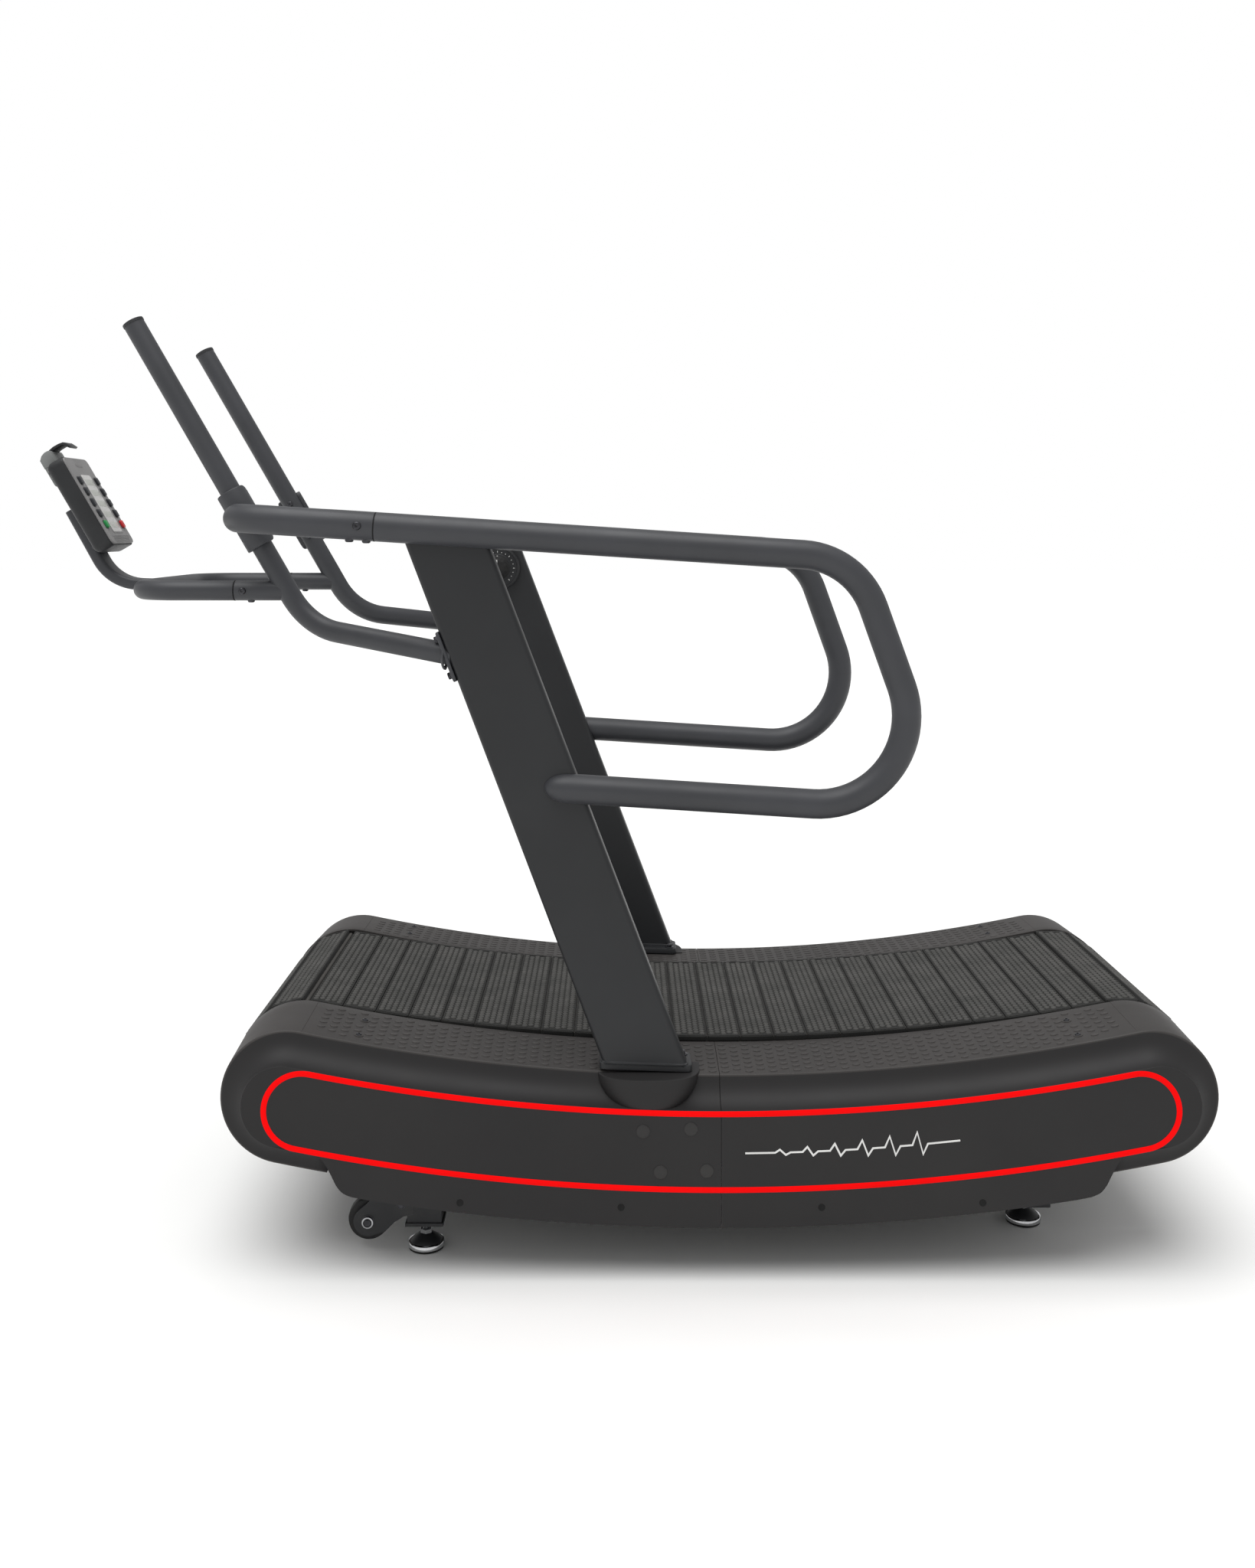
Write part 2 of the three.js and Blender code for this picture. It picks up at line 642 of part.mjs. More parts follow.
function handleRoute() {
  return [
    vec(handleX(1635), -HANDLE_W, 1635),
    vec(handleX(1085), -HANDLE_W, 1085),
    vec(-452, -POST_W - 3, 1045),
  ];
}

const FRONT_RAIL_X = -838;       // where the front rail turns in towards the push handle
const CLAMP = { z: 1279, r: 27, length: 114 };

function buildFrontRails() {
  const corners = [
    vec(RAIL_JOINT_X - GAP / 2, -RAIL_W, railHeight(RAIL_JOINT_X)),
    vec(FRONT_RAIL_X, -RAIL_W, railHeight(FRONT_RAIL_X)),
    vec(FRONT_RAIL_X, -HANDLE_W - 15, CLAMP.z),
  ];
  const tube = bentTube(corners, [75], RAIL_R);
  const outerHalf = box(-950, -700, -290, -HANDLE_W + 6, CLAMP.z - 100, CLAMP.z + 100);
  const saddle = handleRod(CLAMP.r, CLAMP.length, 18).intersect(outerHalf);
  const handleCut = handleRod(HANDLE_R + GAP, 300, 24);
  addPair('front_rail', tube.add(saddle).subtract(handleCut), 'frame');
}

// Cylinder along the push handle, centred on its clamp
function handleRod(r, length, sides) {
  const geometry = new THREE.CylinderGeometry(r, r, length, sides).rotateX(Math.PI / 2);
  geometry.rotateY(-Math.atan(HANDLE_SLOPE)).translate(handleX(CLAMP.z), -HANDLE_W, CLAMP.z);
  return toSolid(geometry);
}

function buildPushHandles() {
  const tube = bentTube(handleRoute(), [120], HANDLE_R, 14);
  const stubEnds = [vec(LOOP.joint + GAP, -HANDLE_W, LOOP.z), vec(handleX(LOOP.z), -HANDLE_W, LOOP.z)];
  const stub = bentTube(stubEnds, [], LOOP_R);
  const flange = new THREE.BoxGeometry(6, 40, 88).rotateY(-deg(LEAN));
  const flangeZ = 1044;
  const faceX = postMiddle(flangeZ) - POST_CHORD / 2;
  const off = 3.6;
  flange.translate(faceX - off * Math.cos(deg(LEAN)), -POST_W, flangeZ - off * Math.sin(deg(LEAN)));
  const solid = unite([tube, stub, toSolid(flange)]).subtract(postBar(GAP, 900, 1200));
  addPair('push_handle', solid, 'frame');
}

// ---- console ----
function buildConsoleMount() {
  const corners = [
    vec(LOOP.joint - GAP, -HANDLE_W, LOOP.z), vec(LOOP.front, -HANDLE_W, LOOP.z),
    vec(LOOP.front, HANDLE_W, LOOP.z), vec(LOOP.joint - GAP, HANDLE_W, LOOP.z),
  ];
  add('console_loop', bentTube(corners, [80, 80], LOOP_R), 'frame');
  const section = shapeOf(roundedRect(22, 52, 8, 2));
  const top = consolePoint(-CONSOLE_T - GAP - 11, 8);
  const knee = vec(-1160, 0, 1155);
  const route = bentStations([top, knee, vec(-1048, 0, 1151)], [90]);
  const loopCut = bentTube([vec(LOOP.front, -90, LOOP.z), vec(LOOP.front, 90, LOOP.z)], [], LOOP_R + GAP);
  add('console_arm', sweep(section, route).subtract(loopCut), 'frame');
}

// Console frame: depth along the panel's normal (towards the runner), height along the panel
function consolePoint(depth, height) {
  const a = deg(CONSOLE_LEAN);
  return vec(
    CONSOLE_X + depth * Math.cos(a) - height * Math.sin(a), 0,
    CONSOLE_Z + depth * Math.sin(a) + height * Math.cos(a),
  );
}

function leanConsole(solid) {
  return solid.rotate([0, -CONSOLE_LEAN, 0]).translate([CONSOLE_X, 0, CONSOLE_Z]);
}

// Rounded slab across the console: width in Y, height in Z, from depth x0 to x1
function slab(width, height, radius, x0, x1, y = 0, z = 0, bevel = 0) {
  const shape = shapeOf(roundedRect(width - 2 * bevel, height - 2 * bevel, radius, 2));
  const depth = x1 - x0 - 2 * bevel;
  const options = { depth, bevelThickness: bevel, bevelSize: bevel, bevelSegments: 2 };
  const geometry = new THREE.ExtrudeGeometry(shape, { ...options, bevelEnabled: bevel > 0 });
  geometry.rotateX(Math.PI / 2).rotateZ(Math.PI / 2);
  return toSolid(geometry.translate(x0 + bevel, y, z));
}

const SCREEN = { w: 50, h: 128, z: -7 };
const BUTTON = { w: 13, h: 16, columns: [-45, 45], top: 43, pitch: 24.5, rows: 5, proud: 5 };

function buildConsole() {
  const cavity = slab(CONSOLE_W - 16, CONSOLE_H - 18, 10, -18, 1);
  const housing = slab(CONSOLE_W, CONSOLE_H, 14, -CONSOLE_T, -3, 0, 0, 4).subtract(cavity);
  const lipless = housing.subtract(slab(CONSOLE_W - 5, CONSOLE_H - 5, 12, -5.3, 1));
  add('console_housing', leanConsole(lipless), 'plastic');
  let panel = slab(CONSOLE_W - 6, CONSOLE_H - 6, 11, -5, 0);
  panel = panel.subtract(slab(SCREEN.w, SCREEN.h, 4, -6, 1, 0, SCREEN.z));
  for (const y of BUTTON.columns) {
    for (let row = 0; row < BUTTON.rows; row += 1) {
      const z = BUTTON.top - row * BUTTON.pitch;
      panel = panel.subtract(slab(BUTTON.w + 0.8, BUTTON.h + 0.8, 4, -6, 1, y, z));
      const side = y < 0 ? 'left' : 'right';
      const accent = y < 0 ? 'green' : 'red';
      const finish = row === BUTTON.rows - 1 ? accent : 'plastic';
      const button = slab(BUTTON.w, BUTTON.h, 3.6, -8, BUTTON.proud, y, z);
      add(`button_${side}_${row + 1}`, leanConsole(button), finish);
    }
  }
  add('console_panel', leanConsole(panel), 'panel');
  const screen = slab(SCREEN.w - 0.8, SCREEN.h - 0.8, 3.6, -5, -0.8, 0, SCREEN.z);
  add('console_screen', leanConsole(screen), 'screen');
}

// Phone holder: a slide behind the housing, a block above it and a hook that comes forward over its top
function buildPhoneHolder() {
  const back = -CONSOLE_T - 9;
  const top = CONSOLE_H / 2 + HOLDER.rise;
  const slide = slab(HOLDER.w, HOLDER.slide, 5, back, -CONSOLE_T - 0.8, 0, top - HOLDER.slide / 2);
  const blockBottom = CONSOLE_H / 2 + 1;
  const block = plate(
    [
      [back, blockBottom], [HOLDER.front, blockBottom], [HOLDER.front, top - 3],
      [HOLDER.front - 6, top], [back + 8, top], [back, top - 8],
    ],
    -HOLDER.w / 2, HOLDER.w / 2,
  );
  const t = HOLDER.hookT;
  const hookTop = top + HOLDER.hookLift;
  const hook = plate(
    [
      [HOLDER.front - 8, top - 4], [HOLDER.front, top - 4],
      [HOLDER.front + 6, hookTop - t], [0, hookTop - t],
      [HOLDER.tip - 2, HOLDER.tipZ], [HOLDER.tip + 1.5, HOLDER.tipZ + 1.5], [3, hookTop],
      [HOLDER.front + 2, hookTop],
    ],
    -HOLDER.hookW / 2, HOLDER.hookW / 2,
  );
  add('phone_holder', leanConsole(unite([slide, block, hook])), 'panel');
}

// ---- resistance dial on the right upright ----
function buildDial() {
  const z = 1175;
  const x = postMiddle(z) + 6;
  const face = POST_W - POST_T / 2 - GAP;
  const deep = 17;
  const bowl = [
    [0, face - deep], [45, face - deep], [48, face - 14], [48, face - 3], [46, face], [0, face],
  ];
  const housing = lathe(bowl, x, z, 28);
  add('dial_housing', housing, 'plastic');
  const back = face - deep - GAP;
  const cap = [[0, back - 24], [20, back - 24], [22, back - 7], [27, back - 5], [27, back], [0, back]];
  const grip = lathe(cap, x, z, 20);
  const pointer = box(x - 3, x + 3, back - 27, back - 6, z + 2, z + 21);
  add('resistance_knob', grip.add(pointer), 'plastic');
}

// ---- feet and transport wheels ----
function levellingFoot(place) {
  const top = place.holder + 46;
  const pad = [[0, 0], [30, 0], [32, 3], [32, 11], [28, 14], [13, 25]];
  const profile = [...pad, [STEM_R, 27], [STEM_R, top], [0, top]];
  const geometry = new THREE.LatheGeometry(flat(profile), 16);
  return toSolid(geometry.rotateX(Math.PI / 2).translate(place.x, -place.w, 0));
}

function buildFeet() {
  addPair('foot_front', levellingFoot(FOOT_FRONT), 'steel');
  addPair('foot_rear', levellingFoot(FOOT_REAR), 'steel');
}

function buildWheels() {
  const outer = WHEEL.w + WHEEL.t / 2;
  const inner = WHEEL.w - WHEEL.t / 2;
  const tyre = lathe(
    [
      [WHEEL.bore, -outer], [WHEEL.r - 3, -outer], [WHEEL.r, -outer + 3], [WHEEL.r, -inner - 3],
      [WHEEL.r - 3, -inner], [WHEEL.bore, -inner], [WHEEL.bore, -outer],
    ],
    WHEEL.x, WHEEL.z, 20,
  );
  addPair('transport_wheel', tyre, 'rubber');
  const arm = [
    ...arcPoints(WHEEL.x, WHEEL.z, 25, 130, 300, 8), [-560, 58], [-528, 70], [-528, 140], [-572, 140],
  ];
  const cheek = plate(arm, -328, -323);
  const axle = rodY(WHEEL.x, WHEEL.z, 5.5, -333, -inner + 4);
  const holder = box(-540, -480, -328, -FRAME_W1 - GAP, FOOT_FRONT.holder, 196);
  const stemHole = rodZ(FOOT_FRONT.x, -FOOT_FRONT.w, STEM_HOLE_R, 30, FOOT_FRONT.holder + 70, 12);
  const washer = rodY(WHEEL.x, WHEEL.z, 9, -inner + 0.6, -inner + 4);
  addPair('wheel_bracket', unite([cheek, holder, axle, washer]).subtract(stemHole), 'frame');
}

buildCovers();
buildBelt();
buildDrum('front', -DRUM_X);
buildDrum('rear', DRUM_X);
buildBrake();
buildFrame();
buildRollerRails();
buildUprights();
buildFrontRails();
buildPushHandles();
buildConsoleMount();
buildConsole();
buildPhoneHolder();
buildDial();
buildFeet();
buildWheels();

export default treadmill;
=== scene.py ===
"""Looks of the curved manual treadmill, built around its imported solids.

Shapes are worked out in millimetres from the middle of the running deck, +X to the rear, -Y to the
runner's left, and Shape.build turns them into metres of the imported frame.
"""
from math import acos, asin, atan2, ceil, copysign, cos, degrees, hypot, pi, radians, sin, sqrt, tan
import bmesh
import bpy
import numpy as np
from mathutils import Matrix, Vector


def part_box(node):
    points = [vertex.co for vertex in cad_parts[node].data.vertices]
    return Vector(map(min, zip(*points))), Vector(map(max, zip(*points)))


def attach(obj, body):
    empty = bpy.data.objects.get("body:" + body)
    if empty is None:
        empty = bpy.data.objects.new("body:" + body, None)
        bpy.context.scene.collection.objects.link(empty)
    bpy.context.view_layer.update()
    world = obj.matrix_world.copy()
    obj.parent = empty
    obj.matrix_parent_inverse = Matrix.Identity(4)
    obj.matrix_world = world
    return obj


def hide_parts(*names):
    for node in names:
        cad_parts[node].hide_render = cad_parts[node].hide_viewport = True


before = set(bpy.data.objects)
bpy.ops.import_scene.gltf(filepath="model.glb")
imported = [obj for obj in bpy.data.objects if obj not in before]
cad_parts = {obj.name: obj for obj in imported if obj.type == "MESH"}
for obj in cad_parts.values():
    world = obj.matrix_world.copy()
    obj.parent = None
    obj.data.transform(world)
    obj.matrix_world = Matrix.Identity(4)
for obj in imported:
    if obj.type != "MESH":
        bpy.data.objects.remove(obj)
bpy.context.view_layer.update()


def middle(node):
    low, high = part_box(node)
    return (low + high) / 2


MM = 0.001
DECK_X = (middle("front_drum_shaft").x + middle("rear_drum_shaft").x) / 2
DRUM_X = (middle("rear_drum_shaft").x - DECK_X) / MM
DRUM_Z = middle("rear_drum_shaft").z / MM

# ---- running deck, as in the solids ----
ARC_Z = 3902.0
ARC_R = hypot(DRUM_X, ARC_Z - DRUM_Z)
ARC_END = asin(DRUM_X / ARC_R)
CREASE_D, STEP_D, FACE_D, SKIRT_D = 114.0, 120.7, 68.5, 127.0  # distances from the deck's middle arc
STEP_W, CREASE_W, FACE_W = 235.0, 378.0, 422.0
SEAM_X = 0.4
BELT_MID_Z, RETURN_MID_Z, PITCH_R = 333.0, 131.0, 106.0
SLAT_PITCH, SLAT_PHASE, SLAT_W = 60.0, 17.5, 228.0

# ---- uprights and rails ----
LEAN = radians(20.87)
POST_W, POST_T, POST_CHORD = 361.0, 42.0, 142.4
POST_BASE_X = -125.8
RAIL_W, RAIL_R, RAIL_JOINT_X = 380.0, 25.0, -587.0
BAR_END_X, BAR_NOSE = -259.0, 40.0
HANDLE_W, HANDLE_R, HANDLE_SLOPE = 230.0, 19.0, 0.5776
LOOP_R, LOOP_Z, LOOP_JOINT_X = 18.0, 1150.0, -864.0
CLAMP_Z = 1279.0
RAIL_TURN_X = -838.0  # where the front rail turns in towards its clamp
GAP = 0.3

# ---- console ----
CONSOLE_LEAN = radians(30.5)
CONSOLE_X, CONSOLE_Z = -1190.0, 1317.0
CONSOLE_H, CONSOLE_W, CONSOLE_T = 198.0, 130.0, 41.0

UP, DOWN = (0, 0, 1), (0, 0, -1)
LEFT, RIGHT = (0, -1, 0), (0, 1, 0)


# ---- mesh toolkit ----
def unit(v):
    return np.asarray(v, float) / np.linalg.norm(v)


def heading(turn):
    """Unit vector in the XZ plane, turned from +X towards +Z."""
    return np.array((cos(turn), 0, sin(turn)))


def around(count):
    """Angles evenly spread over a full turn."""
    return np.linspace(0, 2 * pi, count, endpoint=False)


MOST_SMOOTH_SIDES = 100  # a flat face with more sides than this is drawn flat


class Shape:
    """Mesh parts gathered in millimetres; mark is the index of a face's material."""

    def __init__(self):
        self.points, self.faces, self.marks = [], [], []

    def add(self, points, faces, mark=0):
        base = len(self.points)
        self.points.extend(tuple(map(float, p)) for p in points)
        self.faces.extend(tuple(base + i for i in f) for f in faces)
        self.marks.extend([mark] * len(faces))

    def rings(self, rings, mark=0, closed=False):
        n, count = len(rings[0]), len(rings)
        faces = []
        for i in range(count if closed else count - 1):
            a, b = i * n, ((i + 1) % count) * n
            faces += [(a + k, a + (k + 1) % n, b + (k + 1) % n, b + k) for k in range(n)]
        if not closed:
            faces += [tuple(range(n))[::-1], tuple(range((count - 1) * n, count * n))]
        self.add([p for ring in rings for p in ring], faces, mark)

    def strip(self, rows, mark=0):
        """Open sheet through rows of points."""
        n = len(rows[0])
        faces = [
            (i * n + k, i * n + k + 1, (i + 1) * n + k + 1, (i + 1) * n + k)
            for i in range(len(rows) - 1)
            for k in range(n - 1)
        ]
        self.add([p for row in rows for p in row], faces, mark)

    def mirrored(self, axis):
        twin = Shape()
        twin.points = [tuple(-c if i == axis else c for i, c in enumerate(p)) for p in self.points]
        twin.faces = [tuple(reversed(f)) for f in self.faces]
        twin.marks = list(self.marks)
        return twin

    def build(self, name, body, materials, slot, replaces=(), sharp=35, solid=0, bevel=0, up=None, weld=0):
        points = np.array(self.points) * MM + np.array((DECK_X, 0, 0))
        mesh = bpy.data.meshes.new(name)
        mesh.from_pydata(points.tolist(), [], self.faces)
        for material in materials:
            mesh.materials.append(material)
        mesh.polygons.foreach_set("material_index", self.marks)
        if up is not False:
            work = bmesh.new()
            work.from_mesh(mesh)
            if weld:
                bmesh.ops.remove_doubles(work, verts=work.verts, dist=weld * MM)
            bmesh.ops.recalc_face_normals(work, faces=work.faces)
            if up is not None:
                best = max(work.faces, key=lambda f: f.calc_area() * abs(f.normal.dot(Vector(up))))
                if best.normal.dot(Vector(up)) < 0:
                    bmesh.ops.reverse_faces(work, faces=work.faces)
            work.to_mesh(mesh)
            work.free()
        mesh.shade_smooth()
        mesh.set_sharp_from_angle(angle=radians(sharp))
        for polygon in mesh.polygons:
            if len(polygon.vertices) > MOST_SMOOTH_SIDES:
                polygon.use_smooth = False
        obj = bpy.data.objects.new(name, mesh)
        bpy.context.scene.collection.objects.link(obj)
        if solid:
            thick = obj.modifiers.new("Thickness", "SOLIDIFY")
            thick.thickness, thick.offset = solid * MM, -1
        if bevel:
            edge = obj.modifiers.new("Edges", "BEVEL")
            edge.width, edge.segments, edge.limit_method = bevel * MM, 3, "ANGLE"
            edge.angle_limit = radians(sharp)
            edge.harden_normals = True
        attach(obj, body)
        if replaces:
            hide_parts(*replaces)
        return obj

    def pair(self, name, tail, materials, slot, replaced=True, **options):
        for side, shape in (("left", self), ("right", self.mirrored(1))):
            nodes = [f"{name}_{side}"] if replaced else []
            shape.build(f"{name}_{side}_{tail}", "frame", materials, slot, nodes, **options)
            if options.get("up"):
                options["up"] = (options["up"][0], -options["up"][1], options["up"][2])


def arc(cx, cy, r, start, end, steps):
    angles = np.radians(np.linspace(start, end, steps + 1))
    return [(cx + r * cos(a), cy + r * sin(a)) for a in angles]


def rounded_rect(width, height, radius, steps=6):
    points = []
    for sx, sy, start in ((1, 1, 0), (-1, 1, 90), (-1, -1, 180), (1, -1, 270)):
        cx, cy = sx * (width / 2 - radius), sy * (height / 2 - radius)
        points += arc(cx, cy, radius, start, start + 90, steps)
    return points


def bent_path(corners, radii, step=5.0):
    """Points and tangents along straight runs with round bends."""
    corners = [np.array(c, float) for c in corners]
    points, tangents = [corners[0]], [unit(corners[1] - corners[0])]
    for i in range(1, len(corners) - 1):
        into, out = unit(corners[i] - corners[i - 1]), unit(corners[i + 1] - corners[i])
        turn = acos(max(-1, min(1, float(into @ out))))
        axis = unit(np.cross(into, out))
        start = corners[i] - into * radii[i - 1] * tan(turn / 2)
        centre = start + np.cross(axis, into) * radii[i - 1]
        steps = max(2, ceil(degrees(turn) / step))
        for k in range(steps + 1):
            spin = np.array(Matrix.Rotation(turn * k / steps, 3, Vector(axis)))
            points.append(centre + spin @ (start - centre))
            tangents.append(spin @ into)
    points.append(corners[-1])
    tangents.append(unit(corners[-1] - corners[-2]))
    return points, tangents


def frames_along(tangents):
    first = tangents[0]
    normal = unit(np.cross((1, 0, 0) if abs(first[1]) > 0.9 else (0, 1, 0), first))
    frames = []
    for i, tangent in enumerate(tangents):
        if i:
            turned = Vector(tangents[i - 1]).rotation_difference(Vector(tangent))
            normal = unit(np.array(turned @ Vector(normal)))
        frames.append((normal, np.cross(tangent, normal)))
    return frames


def sweep(shape, section, corners, radii):
    """Bar of one section along straight runs with round bends."""
    points, tangents = bent_path(corners, radii)
    rings = []
    for p, (n, b) in zip(points, frames_along(tangents)):
        rings.append([p + n * x + b * y for x, y in section])
    shape.rings(rings)


def tube(shape, corners, radii, r, sides=36, mark=0, edge=1.5, nose=0.0):
    """Round tube with closed ends, their edges rounded; nose is the length of a domed far end."""
    points, tangents = bent_path(corners, radii)
    frames = frames_along(tangents)

    def ring(i, radius, shift):
        n, b = frames[i]
        centre = points[i] + tangents[i] * shift
        return [centre + radius * (cos(a) * n + sin(a) * b) for a in around(sides)]

    quarter = [radians(a) for a in (0, 30, 60, 90)]
    rings = [ring(0, r - edge * (1 - sin(a)), edge * (1 - cos(a))) for a in quarter]
    rings += [ring(i, r, 0) for i in range(1, len(points) - 1)]
    last = len(points) - 1
    if nose:
        dome = np.radians((0, 12, 24, 36, 48, 60, 70, 79, 86))
        rings += [ring(last, r * cos(a), nose * sin(a)) for a in dome]
    else:
        for a in reversed(quarter):
            rings.append(ring(last, r - edge * (1 - sin(a)), -edge * (1 - cos(a))))
    shape.rings(rings, mark)


def lathe(shape, profile, origin, axis, sides=36, mark=0):
    """Turns a profile of [radius, distance along the axis] about the axis through origin."""
    axis, origin = unit(axis), np.array(origin, float)
    side = unit(np.cross(axis, UP if abs(axis[2]) < 0.9 else (1, 0, 0)))
    other = np.cross(axis, side)
    arms = [cos(a) * side + sin(a) * other for a in around(sides)]
    rings = [[origin + axis * h + max(r, 0.01) * arm for arm in arms] for r, h in profile]
    closed = profile[0] == profile[-1]
    shape.rings(rings[:-1] if closed else rings, mark, closed=closed)


def prism(shape, outline, y0, y1, mark=0):
    """Outline of [x, z] points thickened from y0 to y1."""
    shape.rings([[(x, y, z) for x, z in outline] for y in (y0, y1)], mark)


def block(shape, x0, x1, y0, y1, z0, z1, mark=0):
    prism(shape, [(x0, z0), (x1, z0), (x1, z1), (x0, z1)], y0, y1, mark)


def socket_screw(shape, origin, axis, r, mark):
    """Button-head screw with a socket sunk in its head."""
    h = r * 0.62
    head = [(r, -0.6), (r, h * 0.35), (r * 0.86, h * 0.8), (r * 0.6, h)]
    socket = [(r * 0.45, h), (r * 0.4, h * 0.25), (0, h * 0.2)]
    lathe(shape, head + socket, origin, axis, 18, mark)


def hex_bolt(shape, origin, axis, r, mark):
    """Hex head on a washer."""
    washer = [(0, -0.5), (r * 1.75, -0.5), (r * 1.75, 1.4), (r * 1.6, 1.8), (0, 1.8)]
    lathe(shape, washer, origin, axis, 24, mark)
    head = [(0, 1.6), (r * 1.12, 1.6), (r * 1.15, 2), (r * 1.15, 6.4), (r * 0.98, 7.4), (0, 7.6)]
    lathe(shape, head, origin, axis, 6, mark)


# ---- materials ----
def linear(r, g, b):
    def one(c):
        c /= 255
        return c / 12.92 if c <= 0.04045 else ((c + 0.055) / 1.055) ** 2.4

    return one(r), one(g), one(b), 1.0


class Graph:
    """Node tree of a material or a world."""

    def __init__(self, owner):
        owner.use_nodes = True
        self.nodes, self.links = owner.node_tree.nodes, owner.node_tree.links

    def feed(self, socket, value):
        if isinstance(value, bpy.types.NodeSocket):
            self.links.new(value, socket)
        else:
            socket.default_value = value

    def node(self, kind, inputs, output=0, **settings):
        """Adds a node, sets or links its inputs, and returns one of its outputs."""
        node = self.nodes.new("ShaderNode" + kind)
        for key, value in settings.items():
            setattr(node, key, value)
        for key, value in inputs.items():
            self.feed(node.inputs[key], value)
        return node.outputs[output]

    def noise(self, coords, scale, detail=3.0, rough=0.55):
        inputs = {"Vector": coords, "Scale": scale, "Detail": detail, "Roughness": rough}
        return self.node("TexNoise", inputs, "Fac")

    def ranged(self, value, low, high, from_low=0.3, from_high=0.7):
        inputs = {"Value": value, "From Min": from_low, "From Max": from_high, "To Min": low, "To Max": high}
        return self.node("MapRange", inputs, "Result")

    def mixed(self, factor, a, b):
        """Blend of two colours, which are sockets 6 and 7 of this node; its result is output 2."""
        return self.node("Mix", {0: factor, 6: a, 7: b}, 2, data_type="RGBA")

    def edge_wear_and_glint_mask(self, coords, reach):
        """Mask of the hard edges that take the edge colour (rubbed wear, and a painted highlight on the black
        screws): 1 on a hard edge, broken up by noise, 0 a little way from it.
        """
        rounded = self.node("Bevel", {"Radius": reach * MM}, samples=4)
        true = self.node("NewGeometry", {}, "Normal")
        turned = self.node("VectorMath", {0: rounded, 1: true}, "Value", operation="DOT_PRODUCT")
        edge = self.ranged(turned, 1, 0, 0.8, 0.985)
        patchy = self.ranged(self.noise(coords, 34, 4.0), 0.15, 1)
        return self.node("Math", {0: edge, 1: patchy}, operation="MULTIPLY")


GRAIN_DEPTH = 0.1


def material(
    name, hole_shade_and_seam_dark, light, rough, metal=0.0, cloud=6, grain=1500, bump=0.05, spec=0.4,
    dust=None, streak=None, edge_wear_and_glint=None, reach=1.6,
):
    """Surface whose colour drifts in soft clouds, with fine grain in bump and roughness.

    dust is a paler colour gathered in patches, the edge colour paints the hard edges: rubbed wear, and on the
    black screws a painted highlight; streak is the (x, y, z) scaling that draws brush lines.
    """
    made = bpy.data.materials.new(name)
    graph = Graph(made)
    coords = graph.node("TexCoord", {}, "Object")
    fine_coords = graph.node("Mapping", {"Vector": coords, "Scale": streak}) if streak else coords
    clouds = graph.ranged(graph.noise(coords, cloud, 4.0), 0, 1)
    colour = graph.mixed(clouds, linear(*hole_shade_and_seam_dark), linear(*light))
    fine = graph.noise(fine_coords, grain, 2.0)
    if dust:
        patch = graph.ranged(graph.noise(coords, cloud * 3.1, 6.0, 0.65), 0, 0.5, 0.5, 0.8)
        colour = graph.mixed(patch, colour, linear(*dust))
    if edge_wear_and_glint:
        colour = graph.mixed(graph.edge_wear_and_glint_mask(coords, reach), colour, linear(*edge_wear_and_glint))
    wide = graph.ranged(graph.noise(coords, cloud * 2.3, 5.0), *rough)
    speck = graph.ranged(fine, -0.04, 0.04)
    surface = {
        "Base Color": colour,
        "Metallic": metal,
        "Specular IOR Level": spec,
        "Roughness": graph.node("Math", {0: wide, 1: speck}, operation="ADD"),
        "Normal": graph.node("Bump", {"Strength": bump, "Distance": GRAIN_DEPTH * MM, "Height": fine}),
    }
    for key, value in surface.items():
        graph.feed(graph.nodes["Principled BSDF"].inputs[key], value)
    return made


coat = material("satin_powder_coat", (52, 53, 56), (59, 60, 64), (0.42, 0.52), edge_wear_and_glint=(78, 79, 83))
# Darker copy of the satin powder coat: painted shade on the steep uprights, their weld beads and flange
# plates.
post_coat_painted_shade = material(
    "post_powder_coat_painted_shade", (28, 29, 31), (33, 34, 36), (0.42, 0.52), cloud=4, edge_wear_and_glint=(54, 55, 58),
)
hidden_coat = material(
    "frame_powder_coat", (28, 29, 31), (40, 41, 43), (0.5, 0.62), grain=900, dust=(66, 64, 61),
    edge_wear_and_glint=(70, 70, 72),
)
cover = material(
    "cover_plastic", (52, 50, 49), (59, 56, 55), (0.5, 0.6), cloud=3, grain=1200, bump=0.12,
    spec=0.3, edge_wear_and_glint=(78, 75, 73), reach=1.2,
)
# Darker copy of the cover plastic: painted shade on the steep rim below the crease, the side face and the
# corbel, which face away from the overhead light.
cover_painted_shade = material(
    "cover_side_painted_shade", (35, 34, 35), (40, 39, 39), (0.5, 0.6), cloud=2.4, grain=1200, bump=0.12,
    spec=0.25,
)
nub = material("cover_nub", (54, 52, 51), (62, 59, 58), (0.46, 0.56), cloud=5, grain=1200, spec=0.3)
plug = material(
    "cover_plug", (42, 41, 41), (48, 47, 46), (0.42, 0.5), cloud=9, grain=1200, spec=0.3,
)
# The slat rubber comes in two copies: this darker one on the slat and its sunk field is painted shade between
# the nubs, and the paler one below on the nub tops is painted light; the nubs' paler patches are real dust.
tread_painted_shade = material(
    "slat_rubber_painted_shade", (27, 27, 26), (36, 36, 35), (0.7, 0.84), cloud=9, grain=700, bump=0.2, spec=0.3,
    edge_wear_and_glint=(66, 65, 63), reach=2.0,
)
tread_nub_painted_light = material(
    "slat_nub_rubber_painted_light", (56, 56, 54), (70, 69, 67), (0.55, 0.7), cloud=14, grain=700, bump=0.2,
    spec=0.3, dust=(86, 84, 81),
)
